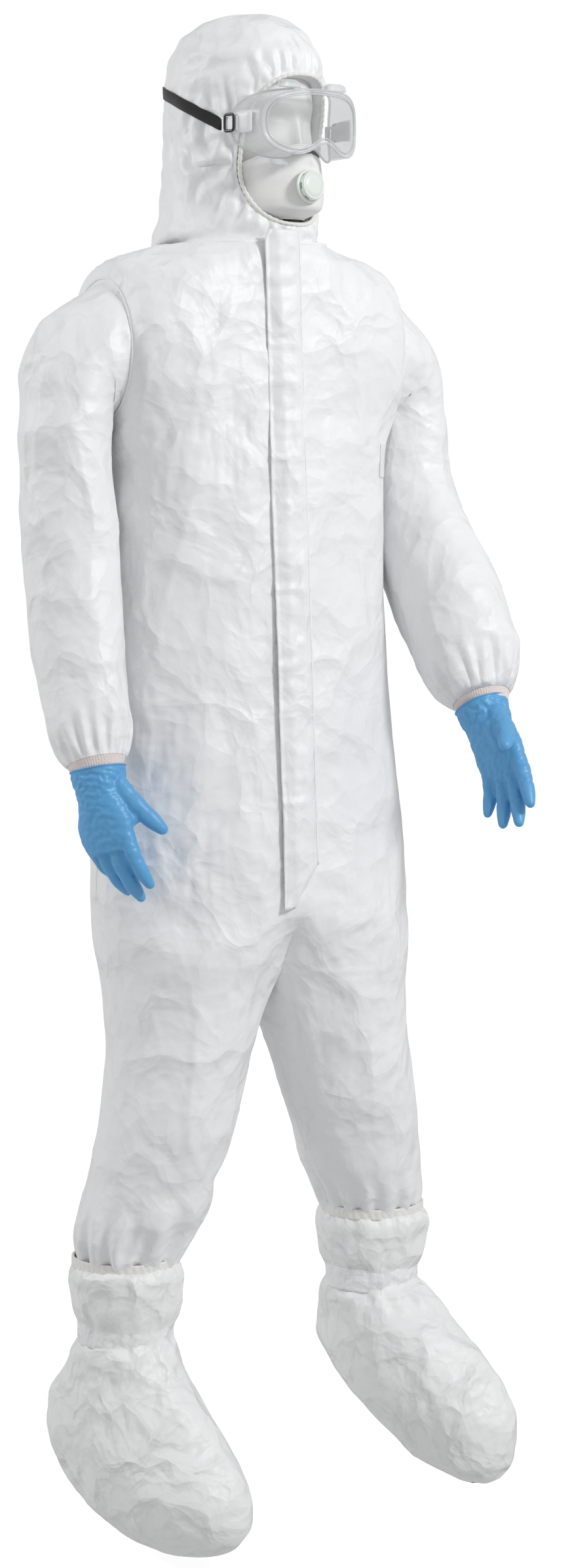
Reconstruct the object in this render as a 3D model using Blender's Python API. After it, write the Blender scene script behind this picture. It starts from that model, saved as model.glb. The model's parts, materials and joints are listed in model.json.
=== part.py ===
"""Hooded chemical protective suit on a display form, with goggles, mask, gloves and overboots.

Everything is laid out in a floor frame: the wearer's left overboot hangs to about z = 0 and the
right one 60 mm lower, the suit faces -Y, and the wearer's left is +X. A root empty then moves the
whole assembly so that the support socket's face, at the back of the pelvis, is the origin. Metres
throughout.
"""

import math

import bmesh
import bpy
import numpy as np

# ---------------------------------------------------------------- driving dimensions
GAP = 0.0005
FABRIC = 0.0016
SOCKET_POINT = (0.0, 0.178, 0.95)
SOCKET_R = 0.024
TORSO_BOTTOM = 0.800
TORSO_TOP = 1.652
FRONT_TOP = (1.62, -0.100)
FRONT_BOTTOM = (0.80, -0.152)
ZIP_HALF_GAP = 0.016
NECK_AXIS = (0.0, 0.030)
HEAD_YAW = math.radians(15)
ARM_SIDES = 13
SHARP = math.radians(35)
BOOT_YAW = math.radians(25)
FLAP_N = 0.0150
FLAP_HINGE_X = 0.0215

WHITE = (0.86, 0.87, 0.88)
BRIGHT = (0.92, 0.92, 0.92)
CREAM = (0.86, 0.83, 0.74)
BLUE = (0.16, 0.45, 0.78)
BLACK = (0.02, 0.02, 0.022)
CLEAR = (0.78, 0.82, 0.83)
VALVE = (0.80, 0.86, 0.82)
GREY = (0.30, 0.31, 0.33)

for old in list(bpy.data.objects):
    bpy.data.objects.remove(old, do_unlink=True)

scene = bpy.context.scene
root = bpy.data.objects.new("suit_root", None)
root.location = [-c for c in SOCKET_POINT]
scene.collection.objects.link(root)


# ---------------------------------------------------------------- mesh helpers
def material(name, colour, rough=0.6, alpha=1.0, metal=0.0):
    made = bpy.data.materials.new(name)
    made.use_nodes = True
    shader = made.node_tree.nodes["Principled BSDF"]
    shader.inputs["Base Color"].default_value = (*colour, 1)
    shader.inputs["Roughness"].default_value = rough
    shader.inputs["Metallic"].default_value = metal
    shader.inputs["Alpha"].default_value = alpha
    made.diffuse_color = (*colour, alpha)
    return made


def add(name, verts, faces, colour, origin=(0, 0, 0), rough=0.6, alpha=1.0, metal=0.0):
    """One closed object from floor-frame vertices, with its origin at a floor-frame point."""
    mesh = bpy.data.meshes.new(name)
    local = [tuple(float(c) for c in np.subtract(v, origin)) for v in verts]
    mesh.from_pydata(local, [], [tuple(int(i) for i in f) for f in faces])
    tidy = bmesh.new()
    tidy.from_mesh(mesh)
    bmesh.ops.remove_doubles(tidy, verts=tidy.verts, dist=1e-6)
    bmesh.ops.recalc_face_normals(tidy, faces=tidy.faces)
    tidy.to_mesh(mesh)
    tidy.free()
    mesh.shade_smooth()
    mesh.set_sharp_from_angle(angle=SHARP)
    obj = bpy.data.objects.new(name, mesh)
    obj.location = [float(c) for c in origin]
    obj.parent = root
    scene.collection.objects.link(obj)
    mesh.materials.append(material(name, colour, rough, alpha, metal))
    return obj


def hide(obj):
    obj.hide_render = True
    obj.display_type = "WIRE"
    return obj


def boolean(obj, other, operation="DIFFERENCE"):
    cut = obj.modifiers.new(operation.title() + "_" + other.name, "BOOLEAN")
    cut.operation = operation
    cut.solver = "EXACT"
    cut.object = hide(other)


def grid_faces(rows, cols, wrap, start=0, flip=False):
    faces = []
    for r in range(rows - 1):
        for c in range(cols if wrap else cols - 1):
            d = (c + 1) % cols
            quad = [start + r * cols + c, start + r * cols + d,
                    start + (r + 1) * cols + d, start + (r + 1) * cols + c]
            faces.append(quad[::-1] if flip else quad)
    return faces


def solid(rings):
    """Vertices and faces of a capped loft through closed rings."""
    rings = np.asarray(rings)
    rows, cols = rings.shape[:2]
    verts = rings.reshape(-1, 3).tolist()
    faces = grid_faces(rows, cols, True)
    for row, turn in ((0, False), (rows - 1, True)):
        verts.append(rings[row].mean(axis=0).tolist())
        for c in range(cols):
            edge = [row * cols + c, row * cols + (c + 1) % cols, len(verts) - 1]
            faces.append(edge if turn else edge[::-1])
    return verts, faces


def shell(outer, inner, wrap=True, capped_end=False):
    """Vertices and faces of a wall between two lofts. A capped end closes the last ring of both."""
    outer = np.asarray(outer)
    inner = np.asarray(inner)
    rows, cols = outer.shape[:2]
    verts = outer.reshape(-1, 3).tolist() + inner.reshape(-1, 3).tolist()
    half = rows * cols
    faces = grid_faces(rows, cols, wrap) + grid_faces(rows, cols, wrap, half, True)
    for c in range(cols if wrap else cols - 1):
        d = (c + 1) % cols
        faces.append([d, c, half + c, half + d])
        last = (rows - 1) * cols
        if not capped_end:
            faces.append([last + c, last + d, half + last + d, half + last + c])
    if capped_end:
        for base, turn in ((0, False), (half, True)):
            last = base + (rows - 1) * cols
            verts.append(np.mean(verts[last:last + cols], axis=0).tolist())
            for c in range(cols):
                edge = [last + c, last + (c + 1) % cols, len(verts) - 1]
                faces.append(edge[::-1] if turn else edge)
    if not wrap:
        for r in range(rows - 1):
            a = r * cols
            b = (r + 1) * cols
            faces.append([a, b, half + b, half + a])
            e = a + cols - 1
            f = b + cols - 1
            faces.append([f, e, half + e, half + f])
    return verts, faces


def arc(centre, a, b, angles, u=(1, 0, 0), v=(0, 1, 0), power=1.0):
    """Points of a superellipse about a centre, at given angles, in the plane of u and v."""
    centre = np.array(centre, float)
    u = np.array(u, float)
    v = np.array(v, float)
    points = []
    for t in angles:
        c = math.copysign(abs(math.cos(t)) ** power, math.cos(t))
        s = math.copysign(abs(math.sin(t)) ** power, math.sin(t))
        points.append(centre + u * a * c + v * b * s)
    return points


def around(count, start=0.0):
    return [start + 2 * math.pi * k / count for k in range(count)]


def span(low, high, count):
    return [low + (high - low) * k / (count - 1) for k in range(count)]


def turned(points, angle, about):
    """Points rotated about a vertical axis."""
    flat = np.asarray(points, float)
    c = math.cos(angle)
    s = math.sin(angle)
    moved = flat.copy()
    x = flat[..., 0] - about[0]
    y = flat[..., 1] - about[1]
    moved[..., 0] = about[0] + c * x - s * y
    moved[..., 1] = about[1] + s * x + c * y
    return moved


def sweep(path, widths, lateral, sides, power=1.0, grow=0.0):
    """Rings along a path. widths are (half width, half depth) pairs, lateral is the width axis."""
    path = np.asarray(path, float)
    rings = []
    for k, point in enumerate(path):
        ahead = path[min(k + 1, len(path) - 1)]
        behind = path[max(k - 1, 0)]
        tangent = (ahead - behind) / np.linalg.norm(ahead - behind)
        side = np.array(lateral, float)
        side -= tangent * side.dot(tangent)
        side /= np.linalg.norm(side)
        depth = np.cross(tangent, side)
        a, b = widths[k]
        rings.append(arc(point, a + grow, b + grow, around(sides), side, depth, power))
    return rings


def block(corner, opposite):
    """Vertices and faces of a box between two opposite corners."""
    low = np.minimum(corner, opposite)
    high = np.maximum(corner, opposite)
    verts = []
    for z in (low[2], high[2]):
        for y in (low[1], high[1]):
            verts.append((low[0], y, z))
            verts.append((high[0], y, z))
    return verts, [(0, 2, 3, 1), (4, 5, 7, 6), (0, 1, 5, 4), (2, 6, 7, 3), (0, 4, 6, 2), (1, 3, 7, 5)]


def cylinder(name, start, end, radius, colour, sides=24, end_radius=None, **more):
    path = [start, end]
    last = radius if end_radius is None else end_radius
    along = np.subtract(end, start)
    lateral = (1, 0, 0) if abs(along[0]) < 0.9 * np.linalg.norm(along) else (0, 1, 0)
    return add(name, *solid(sweep(path, [(radius, radius), (last, last)], lateral, sides)), colour, **more)


def tube_ring(points, radius, sides, closed=True):
    """A round cord through points, closed on itself or with capped ends."""
    points = np.asarray(points, float)
    count = len(points)
    rings = []
    for k in range(count):
        ahead = points[(k + 1) % count] if closed else points[min(k + 1, count - 1)]
        behind = points[(k - 1) % count] if closed else points[max(k - 1, 0)]
        tangent = (ahead - behind) / np.linalg.norm(ahead - behind)
        out = points[k] - points.mean(axis=0)
        out -= tangent * out.dot(tangent)
        out /= np.linalg.norm(out)
        rings.append(arc(points[k], radius, radius, around(sides), out, np.cross(tangent, out)))
    if not closed:
        return solid(rings)
    flat = np.asarray(rings)
    rows, cols = flat.shape[:2]
    faces = []
    for r in range(rows):
        q = (r + 1) % rows
        for c in range(cols):
            d = (c + 1) % cols
            faces.append([r * cols + c, r * cols + d, q * cols + d, q * cols + c])
    return flat.reshape(-1, 3).tolist(), faces


def front_y(z):
    """The straight line down the suit's front that the zip and the flap follow."""
    share = (FRONT_TOP[0] - z) / (FRONT_TOP[0] - FRONT_BOTTOM[0])
    return FRONT_TOP[1] + share * (FRONT_BOTTOM[1] - FRONT_TOP[1])


# ---------------------------------------------------------------- torso panels
# Each level: height, half width, front and back of the suit.
TORSO = [
    (TORSO_BOTTOM, 0.216, front_y(0.80), 0.150),
    (0.88, 0.214, front_y(0.88), 0.152),
    (0.97, 0.204, front_y(0.97), 0.148),
    (1.08, 0.192, front_y(1.08), 0.134),
    (1.22, 0.188, front_y(1.22), 0.146),
    (1.36, 0.187, front_y(1.36), 0.164),
    (1.46, 0.191, front_y(1.46), 0.166),
    (1.560, 0.197, front_y(1.56), 0.158),
    (1.602, 0.188, front_y(1.602), 0.148),
    (1.624, 0.160, -0.0985, 0.142),
    (1.639, 0.125, -0.0950, 0.143),
    (TORSO_TOP, 0.098, -0.0890, 0.148),
]
PANEL_STEPS = 9


def torso_point(t, z, a, b, cy):
    """A place on the torso's outline. It is squarer at the shoulders, where the armholes are flat."""
    power = float(np.interp(z, (1.20, 1.45), (0.90, 0.64)))
    x = a * math.copysign(abs(math.sin(t)) ** power, math.sin(t))
    y = cy - b * math.copysign(abs(math.cos(t)) ** power, math.cos(t))
    return x, y, z


def torso_rings(low, high, count, wall, x_gap):
    """Rings of one panel between two angles, measured from the front line towards the wearer's left."""
    rings = []
    for z, a, front, back in TORSO:
        cy = (front + back) / 2
        b = (back - front) / 2
        power = float(np.interp(z, (1.20, 1.45), (0.90, 0.64)))
        near = math.asin((x_gap / a) ** (1 / power)) if x_gap else 0.0
        start = low if abs(low) > 1e-9 else near
        stop = high if abs(high) > 1e-9 else -near
        ring = []
        for t in span(start, stop, count):
            ring.append(torso_point(t, z, a - wall, b - wall, cy))
        rings.append(ring)
    return rings


def torso_panel(name, low, high, count, x_gap=0.0):
    made = shell(torso_rings(low, high, count, 0, x_gap), torso_rings(low, high, count, FABRIC, x_gap), False)
    return add(name, *made, WHITE)


SIDE = math.pi / 2
SEAM = 0.004
coverall_front_left = torso_panel("coverall_front_left", 0, SIDE - SEAM, PANEL_STEPS, ZIP_HALF_GAP)
coverall_front_right = torso_panel("coverall_front_right", -SIDE + SEAM, 0, PANEL_STEPS, ZIP_HALF_GAP)
coverall_back = torso_panel("coverall_back", SIDE + SEAM, 3 * SIDE - SEAM, 2 * PANEL_STEPS - 1)

ARMHOLE = (1.515, 0.026)
ARMHOLE_HALF = (0.072, 0.080)
for side, label in ((-1, "right"), (1, "left")):
    ends = [(side * x, ARMHOLE[1], ARMHOLE[0]) for x in (0.12, 0.26)]
    hole = hide(add(
        "armhole_cutter_" + label,
        *solid(sweep(ends, [ARMHOLE_HALF, ARMHOLE_HALF], (0, 1, 0), 24)),
        WHITE,
    ))
    front = coverall_front_left if side > 0 else coverall_front_right
    boolean(front, hole)
    boolean(coverall_back, hole)

socket_hole = cylinder("socket_cutter", (0, 0.10, 0.95), (0, 0.20, 0.95), SOCKET_R + 0.006, WHITE)
boolean(coverall_back, socket_hole)

# ---------------------------------------------------------------- sleeves and arm forms
# Each arm: centre line from the armhole to the wrist, with the sleeve's half width and half depth.
ARMS = {
    "right": (
        [(-0.1995, 0.026, 1.515), (-0.240, 0.024, 1.500), (-0.258, 0.014, 1.44), (-0.259, 0.004, 1.34),
         (-0.262, -0.008, 1.25), (-0.264, -0.030, 1.14), (-0.264, -0.060, 1.05), (-0.262, -0.083, 0.99)],
        [(0.084, 0.090), (0.084, 0.074), (0.072, 0.055), (0.068, 0.055),
         (0.067, 0.056), (0.066, 0.055), (0.058, 0.052), (0.040, 0.038)],
    ),
    "left": (
        [(0.1995, 0.026, 1.515), (0.232, 0.028, 1.500), (0.247, 0.028, 1.44), (0.248, 0.018, 1.345),
         (0.250, -0.026, 1.26), (0.252, -0.090, 1.18), (0.252, -0.148, 1.115), (0.252, -0.180, 1.06)],
        [(0.084, 0.090), (0.084, 0.070), (0.072, 0.048), (0.070, 0.051),
         (0.075, 0.058), (0.080, 0.062), (0.070, 0.060), (0.040, 0.038)],
    ),
}
SHOULDERS = {"right": (-0.1995, 0.026, 1.515), "left": (0.1995, 0.026, 1.515)}
WRIST_R = 0.0235


def arm_rings(side, grow, sides=ARM_SIDES):
    """Sleeve rings. The first one lies in the flat armhole plane."""
    path, widths = ARMS[side]
    rings = sweep(path, widths, (0, 1, 0), sides, grow=grow)
    a, b = widths[0]
    sign = 1 if side == "left" else -1
    depth = np.cross((sign, 0, 0), (0, 1, 0))
    rings[0] = arc(path[0], a + grow, b + grow, around(sides), (0, 1, 0), depth)
    a, b = widths[1]
    tilt = np.array((sign * 0.92, 0, -0.39))
    rings[1] = arc(path[1], a + grow, b + grow, around(sides), (0, 1, 0), np.cross(tilt, (0, 1, 0)))
    return rings


for side in ("right", "left"):
    sign = 1 if side == "left" else -1
    path, widths = ARMS[side]
    joint = SHOULDERS[side]
    add("sleeve_" + side, *shell(arm_rings(side, 0), arm_rings(side, -FABRIC)), WHITE, origin=joint)
    wrist = np.array(path[-1])
    along = wrist - np.array(path[-2])
    along /= np.linalg.norm(along)
    form_path = [np.array(path[0]) + (sign * 0.006, 0, 0)]
    form_path += [np.array(p) for p in path[2:]]
    form_path.append(wrist + 0.038 * along)
    form_half = [0.050, 0.040, 0.042, 0.040, 0.038, 0.034, WRIST_R, WRIST_R - 0.002]
    form = sweep(form_path, [(h, h) for h in form_half], (0, 1, 0), 14)
    form[0] = arc(form_path[0], 0.050, 0.050, around(14), (0, 1, 0), np.cross((sign, 0, 0), (0, 1, 0)))
    add("arm_form_" + side, *solid(form), BRIGHT, origin=joint, rough=0.35)
    cuff_path = [wrist + along * s for s in (0.0006, 0.0060, 0.0120)]
    outer = sweep(cuff_path, [(0.0400, 0.0380), (0.0375, 0.0360), (0.0365, 0.0350)], (0, 1, 0), 16)
    inner = sweep(cuff_path, [(0.0380, 0.0360), (0.0350, 0.0335), (0.0345, 0.0330)], (0, 1, 0), 16)
    add("cuff_" + side, *shell(outer, inner), CREAM, origin=joint)

# ---------------------------------------------------------------- gloves
# Finger rows: start (across, along, palm), direction in the same axes, length, radius.
FINGERS = [
    ((-0.030, 0.082, 0.000), (-0.10, 1.0, 0.03), 0.074, 0.0098),
    ((-0.010, 0.088, 0.000), (-0.02, 1.0, 0.04), 0.084, 0.0102),
    ((0.010, 0.086, 0.001), (0.06, 1.0, 0.05), 0.078, 0.0098),
    ((0.029, 0.078, 0.002), (0.14, 1.0, 0.06), 0.062, 0.0088),
]
THUMB = ((-0.034, 0.032, 0.006), (-0.62, 1.0, 0.16), 0.068, 0.0118)
HANDS = {
    # wrist point, direction along the hand, direction of the thumb side
    "right": (np.array((-0.2614, -0.0895, 0.9730)), (0.05, -0.24, -0.97), (0.42, -0.90, 0.0)),
    "left": (np.array((0.2490, -0.1890, 1.0450)), (0.10, -0.48, -0.87), (0.15, -0.88, 0.38)),
}


def hand_frame(side):
    origin, along, thumb = HANDS[side]
    along = np.array(along) / np.linalg.norm(along)
    across = -np.array(thumb)
    across -= along * across.dot(along)
    across /= np.linalg.norm(across)
    palm = np.cross(along, across) * (1 if side == "right" else -1)
    return np.array(origin), across, along, palm


def glove(side):
    origin, across, along, palm = hand_frame(side)

    def place(p):
        return origin + across * p[0] + along * p[1] + palm * p[2]

    rows = [(0.000, 0.0335, 0.0320), (0.020, 0.0320, 0.0300), (0.042, 0.0370, 0.0260),
            (0.062, 0.0420, 0.0190), (0.082, 0.0425, 0.0165), (0.098, 0.0390, 0.0135)]
    rings = [arc(place((0, s, 0)), a, b, around(16), across, palm, 0.85) for s, a, b in rows]
    hand = add("glove_" + side, *solid(rings), BLUE, origin=origin, rough=0.45)
    for k, (start, way, length, radius) in enumerate(FINGERS + [THUMB]):
        way = np.array(way) / np.linalg.norm(way)
        stations = (-0.012, 0.35 * length, 0.7 * length, 0.92 * length, length)
        points = [np.array(start) + way * s for s in stations]
        for n, p in enumerate(points):
            p[2] += 0.0004 * n * n
        radii = [radius * 1.08, radius, radius * 0.92, radius * 0.72, radius * 0.35]
        limb = add(
            "digit_%s_%d" % (side, k),
            *solid(sweep([place(p) for p in points], [(r, r) for r in radii], palm, 8)),
            BLUE,
            origin=origin,
        )
        boolean(hand, limb, "UNION")
    mouth = cylinder(
        "glove_mouth_" + side, origin - along * 0.01, origin + along * 0.037, 0.0310, BLUE,
        end_radius=0.0255, origin=origin,
    )
    boolean(hand, mouth)
    return hand


for side in ("right", "left"):
    glove(side)

# ---------------------------------------------------------------- trouser legs and leg forms
LEG_LEVELS = [
    (0.7994, 0.080, 0.000, 0.136, 0.1500), (0.745, 0.086, -0.004, 0.130, 0.142),
    (0.680, 0.102, -0.014, 0.106, 0.120), (0.600, 0.118, -0.026, 0.090, 0.102),
    (0.500, 0.139, -0.028, 0.084, 0.092), (0.400, 0.164, -0.014, 0.077, 0.082),
    (0.340, 0.1815, -0.005, 0.064, 0.066), (0.300, 0.185, -0.002, 0.054, 0.056),
]
INSEAM = 0.0008
BOOTS = {"right": (-0.186, 0.000, 0.200), "left": (0.186, -0.006, 0.236)}
LEG_DROP = {"right": 0.0, "left": 0.036}


def leg_rings(side, wall):
    sign = 1 if side == "left" else -1
    rings = []
    for z, cx, cy, a, b in LEG_LEVELS:
        z = z if z > 0.70 else z + LEG_DROP[side] * (0.70 - z) / 0.40
        ring = arc((sign * cx, cy, z), a - wall, b - wall, around(18), (1, 0, 0), (0, 1, 0))
        for p in ring:
            p[0] = sign * max(INSEAM + wall, sign * p[0])
        rings.append(ring)
    return rings


for side in ("right", "left"):
    sign = 1 if side == "left" else -1
    add("trouser_leg_" + side, *shell(leg_rings(side, 0), leg_rings(side, FABRIC)), WHITE)
    ankle = BOOTS[side]
    lift = LEG_DROP[side]
    hem = (sign * 0.185, -0.002)
    hem_rows = [(0.2994, 0.054), (0.290, 0.048), (0.277, 0.047)]
    outer = [arc((*hem, z + lift), a, a + 0.002, around(16)) for z, a in hem_rows]
    inner = [arc((*hem, z + lift), a - 0.0016, a + 0.0004, around(16)) for z, a in hem_rows]
    add("ankle_elastic_" + side, *shell(outer, inner), CREAM)
    way = np.array((math.sin(BOOT_YAW), -math.cos(BOOT_YAW), 0))
    foot = np.array(ankle)
    leg_path = [
        (sign * 0.088, 0.0, 0.792), (sign * 0.100, -0.006, 0.70), (sign * 0.132, -0.026, 0.58),
        (sign * 0.148, -0.026, 0.49 + lift * 0.5), (sign * 0.172, -0.010, 0.37 + lift),
        (sign * 0.185, -0.002, 0.275 + lift), foot + (0, 0, -0.015),
        foot + way * 0.030 - (0, 0, 0.080), foot + way * 0.090 - (0, 0, 0.165),
    ]
    leg_half = [
        (0.074, 0.088), (0.072, 0.086), (0.058, 0.062), (0.052, 0.056), (0.048, 0.052),
        (0.036, 0.038), (0.034, 0.036), (0.036, 0.026), (0.026, 0.012),
    ]
    across = (math.cos(BOOT_YAW), math.sin(BOOT_YAW), 0)
    leg_form = solid(sweep(leg_path, leg_half, across, 14))
    add("leg_form_" + side, *leg_form, BRIGHT, rough=0.35)

# ---------------------------------------------------------------- overboots
# Levels of the shaft: height over the ankle, half width, half depth.
SHAFT_RINGS = [
    (0.118, 0.072, 0.074), (0.098, 0.076, 0.078), (0.072, 0.068, 0.070), (0.040, 0.0585, 0.0605),
    (0.012, 0.0585, 0.0605),
]
# Levels of the foot, which hangs toe down: height over the ankle, the heel's and the toe's reach
# forward of the ankle, half width.
FOOT_RINGS = {
    "right": [
        (-0.032, -0.088, 0.082, 0.066), (-0.068, -0.116, 0.118, 0.070),
        (-0.108, -0.122, 0.152, 0.073), (-0.143, -0.110, 0.180, 0.074),
        (-0.178, -0.088, 0.198, 0.072), (-0.212, -0.052, 0.200, 0.064),
        (-0.243, 0.004, 0.176, 0.043), (-0.258, 0.060, 0.130, 0.016),
    ],
    "left": [
        (-0.030, -0.072, 0.118, 0.065), (-0.066, -0.076, 0.168, 0.069),
        (-0.102, -0.052, 0.202, 0.070), (-0.138, -0.014, 0.220, 0.067),
        (-0.172, 0.030, 0.224, 0.058), (-0.204, 0.080, 0.220, 0.044),
        (-0.226, 0.130, 0.206, 0.024), (-0.234, 0.152, 0.190, 0.009),
    ],
}


def boot_axes(side):
    way = np.array((math.sin(BOOT_YAW), -math.cos(BOOT_YAW), 0.0))
    up = np.array((0.0, 0.0, 1.0))
    return way, up, np.cross(way, up), np.array(BOOTS[side])


def boot_rings(side, wall):
    way, up, lateral, ankle = boot_axes(side)
    rings = []
    for height, a, b in SHAFT_RINGS:
        rings.append(arc(ankle + up * height, a - wall, b - wall, around(16), lateral, way))
    for height, heel, toe, a in FOOT_RINGS[side]:
        centre = ankle + up * height + way * (heel + toe) / 2
        rings.append(arc(centre, a - wall, (toe - heel) / 2 - wall, around(16), lateral, way, 0.92))
    rings[-1] = [p + up * wall for p in rings[-1]]
    return rings


for side in ("right", "left"):
    way, up, lateral, ankle = boot_axes(side)
    add("overboot_upper_" + side, *shell(boot_rings(side, 0), boot_rings(side, FABRIC), True, True), WHITE)
    top = ankle + up * 0.118
    rim = [arc(top + up * z, 0.073, 0.075, around(16), lateral, way) for z in (GAP, 0.009)]
    rim_in = [arc(top + up * z, 0.0695, 0.0715, around(16), lateral, way) for z in (GAP, 0.009)]
    add("overboot_elastic_" + side, *shell(rim, rim_in), CREAM)
    tie = [arc(ankle + up * z, 0.0605, 0.0625, around(16), lateral, way) for z in (0.012, 0.040)]
    tie_in = [arc(ankle + up * z, 0.0590, 0.0610, around(16), lateral, way) for z in (0.012, 0.040)]
    add("overboot_tie_" + side, *shell(tie, tie_in), WHITE)

# ---------------------------------------------------------------- torso form, neck and support socket
form_rings = []
for z, a, front, back in TORSO[:-1]:
    a = min(a, 0.186) - (0.030 if z < 1.57 else 0.022)
    middle = (0, (front + back) / 2, z + 0.003)
    form_rings.append(arc(middle, a, (back - front) / 2 - 0.034, around(20)))
torso_form = add("torso_form", *solid(form_rings), BRIGHT, rough=0.35)
socket_pocket = cylinder("pocket_cutter", (0, 0.09, 0.95), (0, 0.20, 0.95), SOCKET_R + GAP, WHITE)
boolean(torso_form, socket_pocket)
cylinder("support_socket", (0, 0.0905, 0.95), SOCKET_POINT, SOCKET_R, GREY, metal=0.8, rough=0.4)
neck_ends = (*NECK_AXIS, 1.6426), (*NECK_AXIS, 1.676)
cylinder("neck_post", *neck_ends, 0.052, BRIGHT, sides=20, rough=0.35)

# ---------------------------------------------------------------- head, in a frame that faces -Y before the yaw
HEAD = [
    (1.677, 0.030, 0.030, 0.020), (1.684, 0.046, 0.060, 0.010), (1.705, 0.056, 0.078, 0.004),
    (1.735, 0.064, 0.088, 0.002), (1.770, 0.070, 0.093, 0.002), (1.810, 0.075, 0.097, 0.004),
    (1.850, 0.076, 0.098, 0.006), (1.885, 0.072, 0.092, 0.006), (1.915, 0.058, 0.075, 0.006),
    (1.932, 0.038, 0.050, 0.006), (1.939, 0.016, 0.020, 0.006),
]
HOOD = [
    (1.6565, 0.097, -0.089, 0.150), (1.690, 0.088, -0.094, 0.150), (1.735, 0.086, -0.100, 0.142),
    (1.780, 0.087, -0.106, 0.130), (1.820, 0.0885, -0.109, 0.120), (1.860, 0.088, -0.108, 0.115),
    (1.895, 0.082, -0.100, 0.107), (1.920, 0.070, -0.084, 0.092), (1.938, 0.050, -0.060, 0.070),
    (1.947, 0.024, -0.030, 0.040),
]
HEAD_TURN = (0.0, 0.0)


def head_place(points):
    """From the head's own frame to the floor frame."""
    return turned(points, HEAD_YAW, HEAD_TURN)


def add_head(name, verts, faces, colour, origin=(0, 0, 0), **more):
    spun = head_place(np.asarray(verts))
    pivot = head_place(np.asarray([origin]))[0] if any(origin) else (0, 0, 0)
    return add(name, spun, faces, colour, origin=tuple(pivot), **more)


head_rings = [arc((0, cy, z), a, b, around(20)) for z, a, b, cy in HEAD]
head = add_head("mannequin_head", *solid(head_rings), BRIGHT, rough=0.35)
nose_rows = [(1.800, -0.092, 0.004, 0.008), (1.780, -0.093, 0.006, 0.012), (1.762, -0.094, 0.0085, 0.0145),
             (1.750, -0.092, 0.011, 0.014), (1.743, -0.088, 0.008, 0.008)]
nose = add_head("nose_piece", *solid([arc((0, y, z), a, b, around(10)) for z, y, a, b in nose_rows]), BRIGHT)
boolean(head, nose, "UNION")


def hood_rings(wall):
    rings = []
    for z, a, front, back in HOOD:
        rings.append(arc((0, (front + back) / 2, z), a - wall, (back - front) / 2 - wall, around(22)))
    return rings


inner_hood = hood_rings(FABRIC)
for p in inner_hood[-1]:
    p[2] -= FABRIC
hood = add_head("hood_crown", *shell(hood_rings(0), inner_hood, True, True), WHITE)
FACE_CENTRE = 1.767
FACE_HALF = (0.070, 0.101)
FACE_SQUARE = 0.75
face_ends = [(0, -0.20, FACE_CENTRE), (0, 0.0, FACE_CENTRE)]
face_loft = solid(sweep(face_ends, [FACE_HALF, FACE_HALF], (1, 0, 0), 32, FACE_SQUARE))
face_cutter = add_head("face_cutter", *face_loft, WHITE)
boolean(hood, face_cutter)


def hood_front(x, z):
    """The hood's outer surface in front, at a place across and up."""
    levels = [row[0] for row in HOOD]
    a = np.interp(z, levels, [row[1] for row in HOOD])
    front = np.interp(z, levels, [row[2] for row in HOOD])
    back = np.interp(z, levels, [row[3] for row in HOOD])
    b = (back - front) / 2
    return (front + back) / 2 - b * math.sqrt(max(0.0, 1 - (x / a) ** 2))


edge_points = []
inset = [half - 0.0036 for half in FACE_HALF]
for spot in arc((0, 0, FACE_CENTRE), *inset, around(30), (1, 0, 0), (0, 0, 1), FACE_SQUARE):
    edge_points.append((spot[0], hood_front(spot[0], spot[2]) + 0.0008, spot[2]))
add_head("hood_elastic", *tube_ring(edge_points, 0.0019, 5), CREAM)

# ---------------------------------------------------------------- goggles
GOGGLE_Z = 1.800


def goggle_ring(scale_x, scale_z, y, curve, count=28, inset=0.0):
    """The goggles' outline: a wide rounded shape with a notch over the nose, bowed round the face."""
    ring = []
    for t in around(count):
        c = math.copysign(abs(math.cos(t)) ** 0.62, math.cos(t))
        s = math.copysign(abs(math.sin(t)) ** 0.72, math.sin(t))
        x = (0.086 * scale_x - inset) * c
        z = (0.045 * scale_z - inset) * s
        if s < 0:
            z += 0.019 * math.exp(-((x / 0.024) ** 2)) * -s
        ring.append((x, y + curve * x * x, GOGGLE_Z + z))
    return ring


RIM = [(1.0, 1.0, -0.1175, 7.4), (0.985, 0.98, -0.131, 6.2), (0.965, 0.95, -0.146, 4.6)]
outer = [goggle_ring(*row) for row in RIM]
inner = [goggle_ring(*row, inset=0.0028) for row in RIM]
goggle_at = (0.0, -0.12, GOGGLE_Z)
add_head("goggle_frame", *shell(outer, inner), CLEAR, origin=goggle_at, rough=0.12, alpha=0.55)


def lens_layer(y):
    return [goggle_ring(0.965 * k, 0.95 * k, y, 4.6, inset=0.0034 * k) for k in (1.0, 0.66, 0.33)]


front_lens = lens_layer(-0.1456)
back_lens = lens_layer(-0.1432)
lens_rows = front_lens[::-1] + back_lens
add_head("goggle_lens", *solid(lens_rows), CLEAR, origin=goggle_at, rough=0.05, alpha=0.3)
for label, x in (("right", -0.040), ("left", 0.040)):
    y = -0.131 + 6.2 * x * x
    top = GOGGLE_Z + 0.0456
    rows = [(top, 0.017, 0.0085), (top + 0.006, 0.0165, 0.008), (top + 0.009, 0.011, 0.005)]
    rings = [arc((x, y, z), a, b, around(16), power=0.7) for z, a, b in rows]
    add_head("goggle_vent_" + label, *solid(rings), CLEAR, origin=goggle_at, rough=0.15, alpha=0.6)
rows = [(GOGGLE_Z - 0.0458, 0.015, 0.008), (GOGGLE_Z - 0.0525, 0.014, 0.007)]
rings = [arc((-0.052, -0.114, z), a, b, around(16), power=0.7) for z, a, b in rows]
add_head("goggle_vent_bottom", *solid(rings), CLEAR, origin=goggle_at, rough=0.15, alpha=0.6)

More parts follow.
